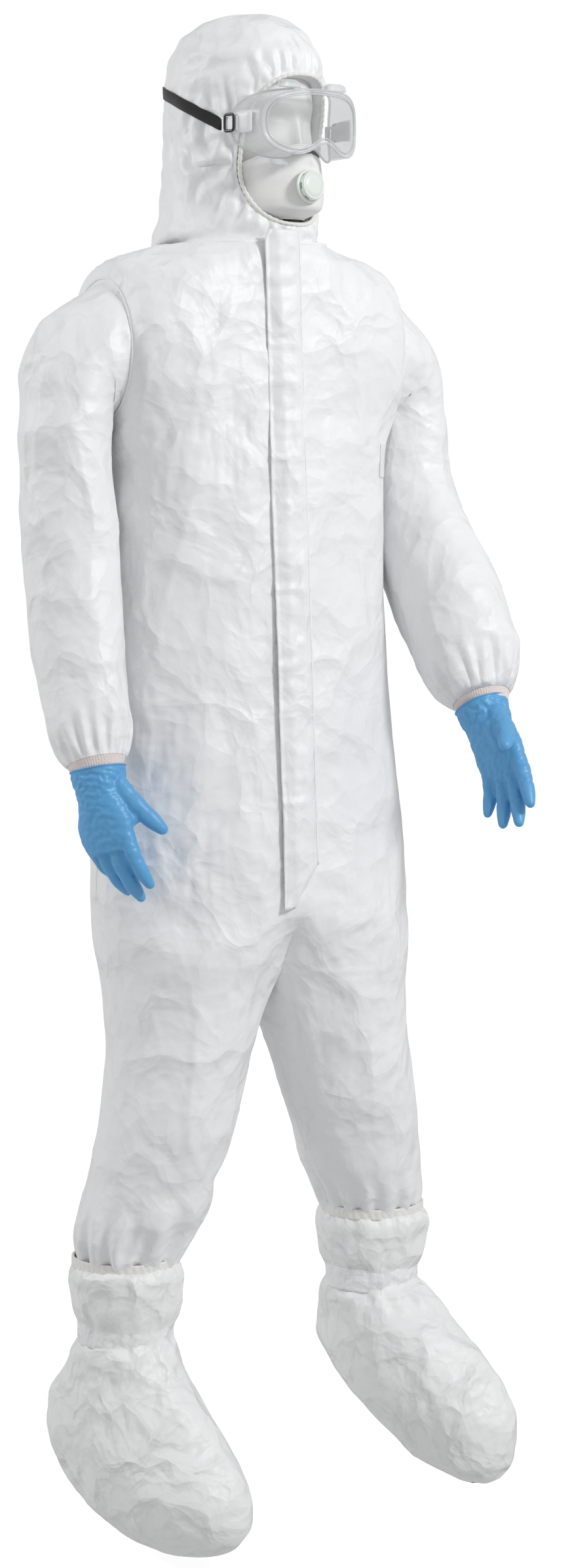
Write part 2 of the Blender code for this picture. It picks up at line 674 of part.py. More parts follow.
CLIP_LOW = -0.080
CLIP_HIGH = -0.052
for sign, label in ((-1, "right"), (1, "left")):
    near = (sign * 0.0885, CLIP_LOW, GOGGLE_Z - 0.009)
    far = (sign * 0.0935, CLIP_HIGH, GOGGLE_Z + 0.009)
    clip = add_head("goggle_clip_" + label, *block(near, far), BRIGHT, origin=goggle_at, rough=0.3)
    near = (sign * 0.091 - 0.006, CLIP_HIGH - 0.012, GOGGLE_Z - 0.0066)
    far = (sign * 0.091 + 0.006, CLIP_HIGH - 0.005, GOGGLE_Z + 0.0066)
    slot = add_head("clip_slot_" + label, *block(near, far), BRIGHT)
    boolean(clip, slot)

STRAP_HALF = 0.0075
STRAP_RISE = 0.050


def strap_rings():
    """The strap as a flat section carried from one clip round the back of the hood to the other."""
    rings = []
    for t in span(-2.02, 2.02, 25):
        share = math.cos(t / 2.02 * math.pi / 2)
        z = GOGGLE_Z + STRAP_RISE * share
        a = np.interp(z, [r[0] for r in HOOD], [r[1] for r in HOOD]) + 0.0022
        front = np.interp(z, [r[0] for r in HOOD], [r[2] for r in HOOD]) - 0.0022
        back = np.interp(z, [r[0] for r in HOOD], [r[3] for r in HOOD]) + 0.0022
        centre = np.array((0, (front + back) / 2, z))
        out = np.array((math.sin(t) * a, math.cos(t) * (back - front) / 2, 0))
        unit = out / np.linalg.norm(out)
        here = centre + out
        edge = np.array((0, 0, STRAP_HALF))
        there = here + unit * 0.0014
        rings.append([here - edge, there - edge, there + edge, here + edge])
    return rings


add_head("goggle_strap", *solid(strap_rings()), BLACK, origin=goggle_at)

# ---------------------------------------------------------------- mask and valve
# Levels of the mask: height, half width and reach forward of its oval, and how far round it goes in degrees.
MASK = [
    (1.686, 0.048, 0.100, 50), (1.694, 0.0560, 0.1180, 53), (1.712, 0.0620, 0.1250, 56),
    (1.735, 0.0655, 0.1240, 52), (1.756, 0.0680, 0.1150, 40), (1.774, 0.0700, 0.1115, 22),
]


def mask_rings(rows, wall, count=13):
    rings = []
    for z, a, b, wide in rows:
        reach = math.radians(wide)
        ring = []
        for t in span(-reach, reach, count):
            ring.append(((a - wall) * math.sin(t), -(b - wall) * math.cos(t), z))
        rings.append(ring)
    return rings


MASK_PIVOT = (0.0, -0.10, 1.70)


def mask_panel(name, rows, wall, colour, count=13, **more):
    made = shell(mask_rings(rows, 0, count), mask_rings(rows, wall, count), False)
    add_head(name, *made, colour, origin=MASK_PIVOT, **more)


mask_panel("mask_body", MASK[1:], 0.0015, BRIGHT)
chin = [(z - GAP, a, b, wide) for z, a, b, wide in MASK[:2]]
chin.insert(0, (1.6835, 0.044, 0.092, 50))
mask_panel("mask_chin_panel", chin, 0.0015, BRIGHT)
clip_rows = [(1.7660, 0.0706, 0.1143, 20), (1.7715, 0.0710, 0.1133, 20)]
mask_panel("mask_nose_clip", clip_rows, 0.0008, GREY, 9, metal=0.6, rough=0.4)
VALVE_Z = 1.722
VALVE_X = -0.010
VALVE_Y = -0.1256
VALVE_TILT = math.radians(6)


def valve_point(x, out, up):
    """A place in front of the mask: across, out along the valve's axis, and up its face."""
    y = VALVE_Y - out * math.cos(VALVE_TILT) + up * math.sin(VALVE_TILT)
    z = VALVE_Z + out * math.sin(VALVE_TILT) + up * math.cos(VALVE_TILT)
    return np.array((VALVE_X + x, y, z))


def valve_ring(radius, out, count=20):
    return [valve_point(radius * math.cos(t), out, radius * math.sin(t)) for t in around(count)]


valve_at = tuple(valve_point(0, 0, 0))
seat_out = [valve_ring(0.0215, 0.0), valve_ring(0.0215, 0.0028)]
seat_in = [valve_ring(0.0110, 0.0), valve_ring(0.0110, 0.0028)]
add_head("valve_seat", *shell(seat_out, seat_in), VALVE, origin=valve_at, rough=0.4)
disc = solid([valve_ring(0.0135, 0.0032), valve_ring(0.0135, 0.0038)])
add_head("valve_diaphragm", *disc, CREAM, origin=tuple(valve_point(0, 0.0032, 0.0135)))
COVER_OUTSIDE = [(0.0188, 0.0031), (0.0186, 0.0090), (0.0172, 0.0106), (0.006, 0.0112)]
COVER_INSIDE = [(0.0176, 0.0031), (0.0174, 0.0084), (0.0160, 0.0096), (0.006, 0.0101)]
cover_out = [valve_ring(*row) for row in COVER_OUTSIDE]
cover_in = [valve_ring(*row) for row in COVER_INSIDE]
cover = add_head("valve_cover", *shell(cover_out, cover_in, True, True), VALVE, origin=valve_at, rough=0.4)
for sign, label in ((-1, "right"), (1, "left")):
    low = valve_point(sign * 0.0165, 0.0045, -0.004)
    high = valve_point(sign * 0.0205, 0.0072, 0.004)
    louvre = add_head("louvre_cutter_" + label, *block(low, high), VALVE)
    boolean(cover, louvre)

BANDS = {"lower": (2.25, 1.702, 1.716), "upper": (2.15, 1.747, 1.850)}


def between(t, z):
    """Halfway between the head and the hood at an angle from the back of the head."""
    a, b, cy = (np.interp(z, [r[0] for r in HEAD], [r[k] for r in HEAD]) for k in (1, 2, 3))
    half, front, back = (
        np.interp(z, [r[0] for r in HOOD], [r[k] for r in HOOD]) for k in (1, 2, 3)
    )
    half = (a + half - FABRIC) / 2
    depth = (b + (back - front) / 2 - FABRIC) / 2
    middle = (cy + (front + back) / 2) / 2
    return np.array((half * math.sin(t), middle + depth * math.cos(t), z))


for label, (reach, low, high) in BANDS.items():
    rings = []
    for t in span(-reach, reach, 19):
        here = between(t, low + (high - low) * math.cos(t / reach * math.pi / 2))
        there = here + np.array((math.sin(t), math.cos(t), 0)) * 0.0009
        edge = np.array((0, 0, 0.003))
        rings.append([here - edge, there - edge, there + edge, here + edge])
    add_head("mask_band_" + label, *solid(rings), BRIGHT, origin=MASK_PIVOT)

# ---------------------------------------------------------------- zip and storm flap, on the straight front line
DOWN = np.array((0.0, FRONT_BOTTOM[1] - FRONT_TOP[1], FRONT_BOTTOM[0] - FRONT_TOP[0]))
FRONT_LENGTH = float(np.linalg.norm(DOWN))
DOWN = DOWN / FRONT_LENGTH
OUT = np.array((0.0, DOWN[2], -DOWN[1]))
TOP_POINT = np.array((0.0, FRONT_TOP[1], FRONT_TOP[0]))


def zip_point(s, x, n):
    """A place on the front: s down from the zip's top, x across, n out from the fabric."""
    return TOP_POINT + DOWN * s + OUT * n + np.array((x, 0.0, 0.0))


def zip_block(name, s, x, n, colour, origin=(0.0, 0.0, 0.0), **more):
    pts = [zip_point(a, b, c) for a in s for b in x for c in n]
    faces = [(0, 1, 3, 2), (4, 6, 7, 5), (0, 4, 5, 1), (2, 3, 7, 6), (0, 2, 6, 4), (1, 5, 7, 3)]
    return add(name, pts, faces, colour, origin=origin, **more)


ZIP_END = 0.800
for sign, label in ((-1, "right"), (1, "left")):
    across = sorted((sign * 0.0034, sign * (ZIP_HALF_GAP - 0.0008)))
    zip_block("zip_tape_" + label, (0.0, ZIP_END), across, (-0.0008, 0.0002), BRIGHT)
zip_block("zip_chain", (0.002, ZIP_END - 0.004), (-0.0029, 0.0029), (-0.0014, 0.0014), BRIGHT)
stop_at = (ZIP_END - 0.0030, ZIP_END + 0.004)
zip_block("zip_bottom_stop", stop_at, (-0.0032, 0.0032), (-0.0016, 0.0024), BRIGHT)
SLIDER_S = (0.003, 0.016)
slider_at = zip_point(SLIDER_S[0], 0, 0.004)
slider_width = (-0.0056, 0.0056)
slider = zip_block("zip_slider", SLIDER_S, slider_width, (0.0008, 0.0066), BRIGHT, origin=slider_at)
channel_s = (SLIDER_S[0] - 0.004, SLIDER_S[1] + 0.004)
channel = zip_block("slider_channel", channel_s, (-0.0034, 0.0034), (-0.001, 0.0022), BRIGHT)
boolean(slider, channel)
pull_at = zip_point(SLIDER_S[0] + 0.005, 0, 0.0082)
pull_s = (SLIDER_S[0] + 0.004, SLIDER_S[0] + 0.026)
zip_block("zip_pull", pull_s, (-0.0032, 0.0032), (0.0072, 0.0084), BRIGHT, origin=pull_at)

FLAP_TOP = -0.046
FLAP_BOTTOM = 0.826
FLAP_FREE = -0.030
FLAP_TIP_X = -0.012
FLAP_TAPER = 0.055
flap_length = FLAP_BOTTOM - FLAP_TOP
steps = [0.0, 0.010, 0.12, 0.26, 0.42, 0.58, 0.70]
steps += [flap_length - FLAP_TAPER, flap_length - FLAP_TAPER / 2, flap_length]
profile = []
for step in steps:
    s = FLAP_TOP + step
    free = np.interp(step, (0.0, 0.010), (FLAP_FREE + 0.006, FLAP_FREE))
    taper_x = np.interp(s, (FLAP_BOTTOM - FLAP_TAPER, FLAP_BOTTOM), (FLAP_HINGE_X, FLAP_TIP_X))
    under = FLAP_N
    over = FLAP_N + 0.0015
    profile.append([
        zip_point(s, taper_x - 0.0015, 0.0030), zip_point(s, taper_x, 0.0030), zip_point(s, taper_x, over),
        zip_point(s, free, over), zip_point(s, free, under), zip_point(s, taper_x - 0.0015, under),
    ])
hinge_at = zip_point(0, FLAP_HINGE_X, 0.0030)
add("storm_flap", *solid(profile), WHITE, origin=hinge_at)
adhesive_x = (FLAP_FREE + 0.0015, FLAP_FREE + 0.0125)
adhesive_n = (FLAP_N - 0.0012, FLAP_N - 0.0004)
zip_block("flap_adhesive", (0.03, 0.74), adhesive_x, adhesive_n, CREAM, origin=hinge_at)

# ---------------------------------------------------------------- chest label
label_rings = []
for z in (1.400, 1.345):
    a, front, back = (
        np.interp(z, [r[0] for r in TORSO], [r[k] for r in TORSO]) for k in (1, 2, 3)
    )
    half = (a + 0.0012, (back - front) / 2 + 0.0012)
    row = []
    for t in (0.80, 0.97, 1.14):
        row.append(torso_point(t, z, *half, (front + back) / 2))
    label_rings.append(row)
label_rings = np.array(label_rings)
outward = np.array((math.sin(1.0), -math.cos(1.0), 0)) * 0.0006
add("chest_label", *shell(label_rings + outward, label_rings, False), BRIGHT)
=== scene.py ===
import json
import math

import bmesh
import bpy
import numpy as np
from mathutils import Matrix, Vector, noise
from mathutils.bvhtree import BVHTree

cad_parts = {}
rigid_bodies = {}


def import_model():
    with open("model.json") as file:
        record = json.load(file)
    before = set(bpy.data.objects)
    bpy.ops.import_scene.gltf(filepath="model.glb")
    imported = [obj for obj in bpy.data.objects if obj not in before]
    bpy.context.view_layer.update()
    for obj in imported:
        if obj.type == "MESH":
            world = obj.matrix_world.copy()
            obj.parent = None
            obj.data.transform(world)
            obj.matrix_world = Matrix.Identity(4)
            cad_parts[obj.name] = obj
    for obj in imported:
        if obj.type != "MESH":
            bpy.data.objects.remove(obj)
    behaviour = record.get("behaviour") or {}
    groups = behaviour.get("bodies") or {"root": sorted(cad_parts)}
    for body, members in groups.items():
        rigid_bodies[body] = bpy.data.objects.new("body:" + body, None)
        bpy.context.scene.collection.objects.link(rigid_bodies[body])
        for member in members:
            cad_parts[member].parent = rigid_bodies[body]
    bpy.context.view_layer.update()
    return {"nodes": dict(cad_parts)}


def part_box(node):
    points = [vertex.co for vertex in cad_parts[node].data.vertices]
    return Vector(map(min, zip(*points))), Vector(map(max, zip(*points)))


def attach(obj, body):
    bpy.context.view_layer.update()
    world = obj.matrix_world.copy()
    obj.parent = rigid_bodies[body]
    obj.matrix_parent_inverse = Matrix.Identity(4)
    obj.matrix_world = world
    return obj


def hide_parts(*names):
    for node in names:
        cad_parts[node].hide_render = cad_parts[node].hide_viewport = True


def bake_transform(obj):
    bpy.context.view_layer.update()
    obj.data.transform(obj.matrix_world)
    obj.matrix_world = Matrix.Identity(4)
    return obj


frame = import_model()
nodes = frame["nodes"]
scene = bpy.context.scene
for old in [o for o in bpy.data.objects if o.name in ("Cube", "Light", "Camera")]:
    bpy.data.objects.remove(old)

# The shapes below are laid out in a floor frame, and SHIFT takes them to the object's own frame.
SHIFT = np.array((0.0, -0.178, -0.95))
HEAD_YAW = math.radians(15)
ARMHOLE_R = 0.091
ARMHOLE = {"right": np.array((-0.1995, 0.026, 1.515)), "left": np.array((0.1995, 0.026, 1.515))}
SIGN = {"right": -1, "left": 1}
NECK_Z = 1.652
WAIST_Z = 1.075
CROTCH_Z = 0.690


# ---------------------------------------- small mesh tools
def piece(name, verts, faces, material, smooth=True, shift=True):
    """One mesh object from floor-frame vertices."""
    made = bpy.data.meshes.new(name)
    points = np.asarray(verts, float) + (SHIFT if shift else 0)
    made.from_pydata([tuple(p) for p in points], [], [tuple(int(i) for i in f) for f in faces])
    work = bmesh.new()
    work.from_mesh(made)
    bmesh.ops.recalc_face_normals(work, faces=work.faces)
    work.to_mesh(made)
    work.free()
    if smooth:
        made.shade_smooth()
    obj = bpy.data.objects.new(name, made)
    scene.collection.objects.link(obj)
    made.materials.append(material)
    return obj


def coords(obj):
    flat = np.empty(len(obj.data.vertices) * 3, np.float32)
    obj.data.vertices.foreach_get("co", flat)
    return flat.reshape(-1, 3).astype(float)


def set_coords(obj, points):
    obj.data.vertices.foreach_set("co", np.asarray(points, np.float32).ravel())
    obj.data.update()


def circle(count):
    """Even angles once round, without the last one that would repeat the first."""
    return np.linspace(0, 2 * math.pi, count, endpoint=False)


def smoothstep(x, low, high):
    t = np.clip((np.asarray(x, float) - low) / (high - low), 0, 1)
    return t * t * (3 - 2 * t)


def resample(line, count):
    """A polyline resampled to count + 1 points equally far apart along it."""
    line = np.asarray(line, float)
    gaps = np.linalg.norm(np.diff(line, axis=0), axis=1)
    far = np.concatenate([[0], np.cumsum(gaps)])
    at = np.linspace(0, far[-1], count + 1)
    return np.stack([np.interp(at, far, line[:, k]) for k in range(line.shape[1])], axis=1)


def grid(rows, cols, wrap, start=0):
    """The quads of a loft, numbered along each row in turn from start. wrap closes every row on itself."""
    faces = []
    for r in range(rows - 1):
        here, above = start + r * cols, start + (r + 1) * cols
        for c in range(cols if wrap else cols - 1):
            d = (c + 1) % cols
            faces.append((here + c, here + d, above + d, above + c))
    return faces


def closed_tip(rows):
    """Points and faces of a loft of rings whose last ring closes on its own middle."""
    cols = rows.shape[1]
    points = np.concatenate([rows.reshape(-1, 3), [rows[-1].mean(axis=0)]])
    tip = (len(rows) - 1) * cols
    fan = [(tip + c, tip + (c + 1) % cols, len(points) - 1) for c in range(cols)]
    return points, grid(len(rows), cols, True) + fan


def open_hole(faces, inside):
    """Drops the faces whose corners are all inside a hole, and marks the points that are still used."""
    kept = [f for f in faces if not all(inside[i] for i in f)]
    used = np.zeros(len(inside), bool)
    used[[i for f in kept for i in f]] = True
    return kept, used


def renumbered(faces, used):
    """Faces counted over the used points only."""
    number = np.cumsum(used) - 1
    return [[number[i] for i in f] for f in faces]


def end_caps(rows, sides, base=0):
    """The two flat ends of a closed loft."""
    end = base + (rows - 1) * sides
    return [tuple(base + k for k in range(sides))[::-1], tuple(end + k for k in range(sides))]


def superellipse(t, a, b, power):
    c, s = np.cos(t), np.sin(t)
    return a * np.sign(c) * np.abs(c) ** power, b * np.sign(s) * np.abs(s) ** power


def smooth_rows(rows, passes, keep=1):
    """Rings averaged with their neighbours along the loft, the end rings kept."""
    rows = np.array(rows, float)
    for _ in range(passes):
        middle = (rows[:-2] + 2 * rows[1:-1] + rows[2:]) / 4
        rows[keep:len(rows) - keep] = middle[keep - 1:len(middle) - keep + 1]
    return rows


def turn(points, angle):
    """Points turned about the vertical axis."""
    points = np.array(points, float)
    c, s = math.cos(angle), math.sin(angle)
    x, y = points[..., 0].copy(), points[..., 1].copy()
    points[..., 0] = c * x - s * y
    points[..., 1] = s * x + c * y
    return points


def field(points, scale, seed, kind="noise", stretch=(1, 1, 1)):
    """Noise at each point: scale is cycles per metre."""
    out = np.empty(len(points))
    spots = points * np.array(stretch) * scale + seed * 17.31
    for k, p in enumerate(spots):
        if kind == "noise":
            out[k] = noise.noise(p)
        else:
            near = noise.voronoi(p)[0]
            out[k] = near[1] - near[0]
    return out


# ---------------------------------------- cloth: extra fabric between held edges buckles
def neighbours(obj):
    """Each vertex's edge neighbours and face-diagonal neighbours, padded with the vertex itself."""
    mesh = obj.data
    count = len(mesh.vertices)
    straight = [set() for _ in range(count)]
    cross = [set() for _ in range(count)]
    for e in mesh.edges:
        a, b = e.vertices
        straight[a].add(b)
        straight[b].add(a)
    for f in mesh.polygons:
        v = f.vertices
        if len(v) == 4:
            for a, b in ((v[0], v[2]), (v[1], v[3])):
                cross[a].add(b)
                cross[b].add(a)

    def table(sets, most):
        out = np.empty((count, most), int)
        live = np.zeros((count, most), np.float32)
        for k, s in enumerate(sets):
            s = sorted(s)[:most]
            out[k] = s + [k] * (most - len(s))
            live[k, :len(s)] = 1
        return out, live
    return table(straight, 6), table(cross, 6)


def averaging(live):
    """Shares of each neighbour in their mean."""
    return live / np.maximum(live.sum(axis=1, keepdims=True), 1)


def vertex_normals(obj):
    flat = np.empty(len(obj.data.vertices) * 3, np.float32)
    obj.data.vertex_normals.foreach_get("vector", flat)
    return flat.reshape(-1, 3).astype(float)


SPRING = 0.9      # the share of each spring's stretch taken up in a round
MOMENTUM = 0.86   # the share of the last round's movement that carries on


def drape(obj, along, excess_along, excess_across, free, rounds=160, bend=0.022, out=0.014, into=0.012,
          seed=1.0, kick=0.0012, kick_scale=9.0, kick_stretch=(1, 1, 1)):
    """Settles cloth whose true lengths are longer than the start shape's. along is each vertex's warp
    direction, excess_* are shares per vertex, and free is 0 where it is held and 1 where it moves."""
    (near, live), (cross, cross_live) = neighbours(obj)
    start = coords(obj)
    normal = vertex_normals(obj)
    every = np.concatenate([near, cross], axis=1)
    alive = np.concatenate([live, cross_live * 0.5], axis=1)
    d = start[every] - start[:, None]
    length = np.linalg.norm(d, axis=2) + 1e-9
    lean = np.abs((d * along[:, None]).sum(axis=2)) / length
    share = lean ** 2
    grow = share * excess_along[:, None] + (1 - share) * excess_across[:, None]
    grow = (grow + (share * excess_along[every] + (1 - share) * excess_across[every])) / 2
    rest = (length * (1 + grow)).astype(np.float32)
    weight = averaging(alive)
    mean = averaging(live)
    bump = field(start, kick_scale, seed, stretch=kick_stretch)
    bump += 0.5 * field(start, kick_scale * 2.3, seed + 3, stretch=kick_stretch)
    free = free.astype(np.float32)[:, None]
    pos = (start + normal * (bump * kick)[:, None] * free).astype(np.float32)
    before = pos.copy()
    home = start.astype(np.float32)
    normal32 = normal.astype(np.float32)
    for _ in range(rounds):
        d = pos[every] - pos[:, None]
        far = np.sqrt((d * d).sum(axis=2)) + 1e-9
        push = (d * ((1 - rest / far) * weight)[..., None]).sum(axis=1)
        u = pos - home
        bent = (u[near] * mean[..., None]).sum(axis=1) - u
        twice = (bent[near] * mean[..., None]).sum(axis=1) - bent
        step = (push * SPRING - twice * bend + MOMENTUM * (pos - before)) * free
        before = pos
        pos = pos + step
        u = pos - home
        lift = (u * normal32).sum(axis=1, keepdims=True)
        kept = np.clip(lift, -into, out)
        side = u - lift * normal32
        reach = np.linalg.norm(side, axis=1, keepdims=True)
        side *= np.minimum(1, out / np.maximum(reach, 1e-6))
        pos = home + kept * normal32 + side
    set_coords(obj, pos)


def put(obj, name, values):
    obj.data.attributes.new(name, "FLOAT", "POINT").data.foreach_set("value", np.asarray(values, np.float32))


def take(obj, name):
    values = np.empty(len(obj.data.vertices), np.float32)
    obj.data.attributes[name].data.foreach_get("value", values)
    obj.data.attributes.remove(obj.data.attributes[name])
    return values


def crinkle(obj, held, amount, seed, rounds=70, patch=6.0, out=0.004):
    """Refines settled cloth once and lets patches of it buckle again into finer, sharper creases."""
    put(obj, "hold", held)
    subdivide(obj)
    held = take(obj, "hold")
    where = coords(obj)
    rough = smoothstep(field(where, patch, seed, stretch=(1, 1, 0.6)), -0.05, 0.45)
    excess = amount * (0.15 + rough)
    up = np.tile(np.array((0.0, 0.0, 1.0)), (len(where), 1))
    drape(obj, up, excess, excess, np.clip(1 - held, 0, 1), rounds=rounds, bend=0.010, out=out, into=out,
          seed=seed + 1, kick=0.0007, kick_scale=24, kick_stretch=(1, 1, 0.6))


def boundary(obj):
    seen = {}
    for f in obj.data.polygons:
        for k in f.edge_keys:
            seen[k] = seen.get(k, 0) + 1
    edge = np.zeros(len(obj.data.vertices), bool)
    for (a, b), n in seen.items():
        if n == 1:
            edge[a] = edge[b] = True
    return edge


# Crease sizes: cycles per metre, stretch along each axis, and the share of the height.
CREASES = [(6.0, (1.0, 1.0, 0.36), 1.0), (11.0, (0.75, 0.75, 0.9), 0.45), (24.0, (1, 1, 0.5), 0.16)]


def rumple(obj, seed, height, share):
    """Crisp straight creases: flat facets that meet at ridges, larger ones long down the cloth and smaller
    ones across. Held edges, which are the mesh's boundary, stay where they are."""
    where = coords(obj)
    normal = vertex_normals(obj)
    edge = boundary(obj)
    away = np.ones(len(where))
    away[edge] = 0
    (near, live), _ = neighbours(obj)
    mean = averaging(live)
    for _ in range(7):
        away = np.minimum(away, (away[near] * mean).sum(axis=1) + 0.10)
    bent = where + 0.020 * np.stack([field(where, 5, seed + k) for k in (1, 2, 3)], axis=1)
    total = np.zeros(len(where))
    for scale, stretch, part in CREASES:
        folded = field(bent, scale, seed + scale, "crease", stretch)
        total += part * (0.6 - 1.7 * np.minimum(folded, 0.6) + 0.22 * np.exp(-folded / 0.05))
        plane = field(bent, scale * 0.8, seed + scale + 9, "noise", stretch)
        total += part * 0.5 * plane
    patchy = 0.35 + 0.65 * smoothstep(field(where, 3.2, seed + 5), -0.25, 0.25)
    set_coords(obj, where + normal * (total * height * 0.5 * away * patchy * share)[:, None])


def keep_result(obj, mod):
    """Gives an object the mesh that a modifier makes of it, and takes the modifier off."""
    bpy.context.view_layer.update()
    graph = bpy.context.evaluated_depsgraph_get()
    fine = bpy.data.meshes.new_from_object(obj.evaluated_get(graph))
    obj.modifiers.remove(mod)
    old = obj.data
    if not fine.materials:
        fine.materials.append(old.materials[0])
    obj.data = fine
    bpy.data.meshes.remove(old)
    obj.data.shade_smooth()


def subdivide(obj):
    mod = obj.modifiers.new("refine", "SUBSURF")
    mod.levels = mod.render_levels = 1
    keep_result(obj, mod)


def thicken(obj, depth, offset=-1.0):
    mod = obj.modifiers.new("thickness", "SOLIDIFY")
    mod.thickness = depth
    mod.offset = offset


def belongs(obj, body, slot, *solids):
    """Says which body a piece moves with and which plain solids it stands for, and hides those. slot is not
    used.
    """
    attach(obj, body)
    if solids:
        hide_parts(*solids)


def blend_over(obj):
    """Bakes a piece's place into its mesh, leaving it with no body to follow."""
    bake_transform(obj)


# ---------------------------------------- materials
def new_material(name, colour, rough=0.5, metal=0.0, **more):
    m = bpy.data.materials.new(name)
    m.use_nodes = True
    shader = m.node_tree.nodes["Principled BSDF"]
    shader.inputs["Base Color"].default_value = (*colour, 1)
    shader.inputs["Roughness"].default_value = rough
    shader.inputs["Metallic"].default_value = metal
    for key, value in more.items():
        shader.inputs[key.replace("_", " ")].default_value = value
    return m


def node(m, kind, **values):
    n = m.node_tree.nodes.new(kind)
    for key, value in values.items():
        setattr(n, key, value)
    return n


def link(m, a, out, b, into):
    m.node_tree.links.new(a.outputs[out], b.inputs[into])


def fabric_material(name, colour, crumple=0.5, scale=1.0):
    """Microporous film on spunbond: satin, faintly embossed, with fine crumple creases."""
    m = new_material(name, colour, 0.46)
    shader = m.node_tree.nodes["Principled BSDF"]
    shader.inputs["Subsurface Weight"].default_value = 0.0
    place = node(m, "ShaderNodeTexCoord")
    warp = node(m, "ShaderNodeTexNoise")
    warp.inputs["Scale"].default_value = 7 * scale
    warp.inputs["Detail"].default_value = 3
    link(m, place, "Object", warp, "Vector")
    mix = node(m, "ShaderNodeVectorMath", operation="MULTIPLY_ADD")
    link(m, warp, "Color", mix, 0)
    mix.inputs[1].default_value = (0.10 / scale, 0.10 / scale, 0.10 / scale)
    link(m, place, "Object", mix, 2)
    heights = []
    for size, height in ((14, 0.022), (31, 0.0075), (80, 0.0016)):
        cell = node(m, "ShaderNodeTexVoronoi", feature="F1")
        cell.inputs["Scale"].default_value = size * scale
        link(m, mix, "Vector", cell, "Vector")
        times = node(m, "ShaderNodeMath", operation="MULTIPLY")
        times.inputs[1].default_value = height * crumple
        link(m, cell, "Distance", times, 0)
        heights.append(times)
    grain = node(m, "ShaderNodeTexVoronoi", feature="F1")
    grain.inputs["Scale"].default_value = 900
    grain.inputs["Randomness"].default_value = 0.35
    link(m, place, "Object", grain, "Vector")
    times = node(m, "ShaderNodeMath", operation="MULTIPLY")
    times.inputs[1].default_value = 0.00006
    link(m, grain, "Distance", times, 0)
    heights.append(times)
    total = heights[0]
    for h in heights[1:]:
        add = node(m, "ShaderNodeMath", operation="ADD")
        link(m, total, "Value", add, 0)
        link(m, h, "Value", add, 1)
        total = add
    bump = node(m, "ShaderNodeBump")
    bump.inputs["Strength"].default_value = 0.80
    bump.inputs["Distance"].default_value = 1.0
    link(m, total, "Value", bump, "Height")
    link(m, bump, "Normal", shader, "Normal")
    tone = node(m, "ShaderNodeTexNoise")
    tone.inputs["Scale"].default_value = 3.0
    link(m, place, "Object", tone, "Vector")
    ramp = node(m, "ShaderNodeMixRGB")
    ramp.inputs["Color1"].default_value = (*colour, 1)
    ramp.inputs["Color2"].default_value = (*[c * 0.965 for c in colour], 1)
    link(m, tone, "Fac", ramp, "Fac")
    link(m, ramp, "Color", shader, "Base Color")
    return m


def bumped(m, place, height_node, out, depth, strength=0.6):
    """Joins a height texture to a material's normal: depth is the real height in metres."""
    times = node(m, "ShaderNodeMath", operation="MULTIPLY")
    times.inputs[1].default_value = depth
    link(m, height_node, out, times, 0)
    bump = node(m, "ShaderNodeBump")
    bump.inputs["Strength"].default_value = strength
    bump.inputs["Distance"].default_value = 1.0
    link(m, times, "Value", bump, "Height")
    link(m, bump, "Normal", m.node_tree.nodes["Principled BSDF"], "Normal")


def mottled(m, place, colour, scale, spread):
    """Slow colour variation over a surface, spread being the darkest share lost."""
    shader = m.node_tree.nodes["Principled BSDF"]
    tone = node(m, "ShaderNodeTexNoise")
    tone.inputs["Scale"].default_value = scale
    tone.inputs["Detail"].default_value = 4
    link(m, place, "Object", tone, "Vector")
    mix = node(m, "ShaderNodeMixRGB")
    mix.inputs["Color1"].default_value = (*colour, 1)
    mix.inputs["Color2"].default_value = (*[c * (1 - spread) for c in colour], 1)
    link(m, tone, "Fac", mix, "Fac")
    link(m, mix, "Color", shader, "Base Color")


def surface(name, colour, rough, grain, depth, metal=0.0, spread=0.06, **more):
    """Moulded plastic, rubber or metal: a fine grain and a little colour variation."""
    m = new_material(name, colour, rough, metal, **more)
    place = node(m, "ShaderNodeTexCoord")
    mottled(m, place, colour, 12.0, spread)
    pits = node(m, "ShaderNodeTexNoise")
    pits.inputs["Scale"].default_value = grain
    pits.inputs["Detail"].default_value = 5
    link(m, place, "Object", pits, "Vector")
    bumped(m, place, pits, "Fac", depth)
    return m


def weave(name, colour, rough, scale, depth, spread=0.10):
    """Woven or knitted yarn: two crossed sets of ridges."""
    m = new_material(name, colour, rough, Sheen_Weight=0.25)
    place = node(m, "ShaderNodeTexCoord")
    mottled(m, place, colour, 60.0, spread)
    ridges = []
    for direction in ("DIAGONAL", "Z"):
        wave = node(m, "ShaderNodeTexWave", bands_direction=direction)
        wave.inputs["Scale"].default_value = scale / 6
        wave.inputs["Distortion"].default_value = 1.2
        link(m, place, "Object", wave, "Vector")
        ridges.append(wave)
    both = node(m, "ShaderNodeMath", operation="ADD")
    link(m, ridges[0], "Fac", both, 0)
    link(m, ridges[1], "Fac", both, 1)
    bumped(m, place, both, "Value", depth)
    return m


def nonwoven(name, colour):
    """Pressed fibre: soft mottling and rows of tiny bonded dots."""
    m = new_material(name, colour, 0.75, Sheen_Weight=0.15)
    place = node(m, "ShaderNodeTexCoord")
    mottled(m, place, colour, 140.0, 0.05)
    dots = node(m, "ShaderNodeTexVoronoi", feature="F1")
    dots.inputs["Scale"].default_value = 620
    dots.inputs["Randomness"].default_value = 0.25
    link(m, place, "Object", dots, "Vector")
    bumped(m, place, dots, "Distance", 0.00022, 0.5)
    return m


def clear(name, colour, alpha, rough):
    """Clear soft plastic with faint flow marks."""
    m = surface(name, colour, rough, 45, 0.00030, spread=0.03, Alpha=alpha, IOR=1.5)
    return m


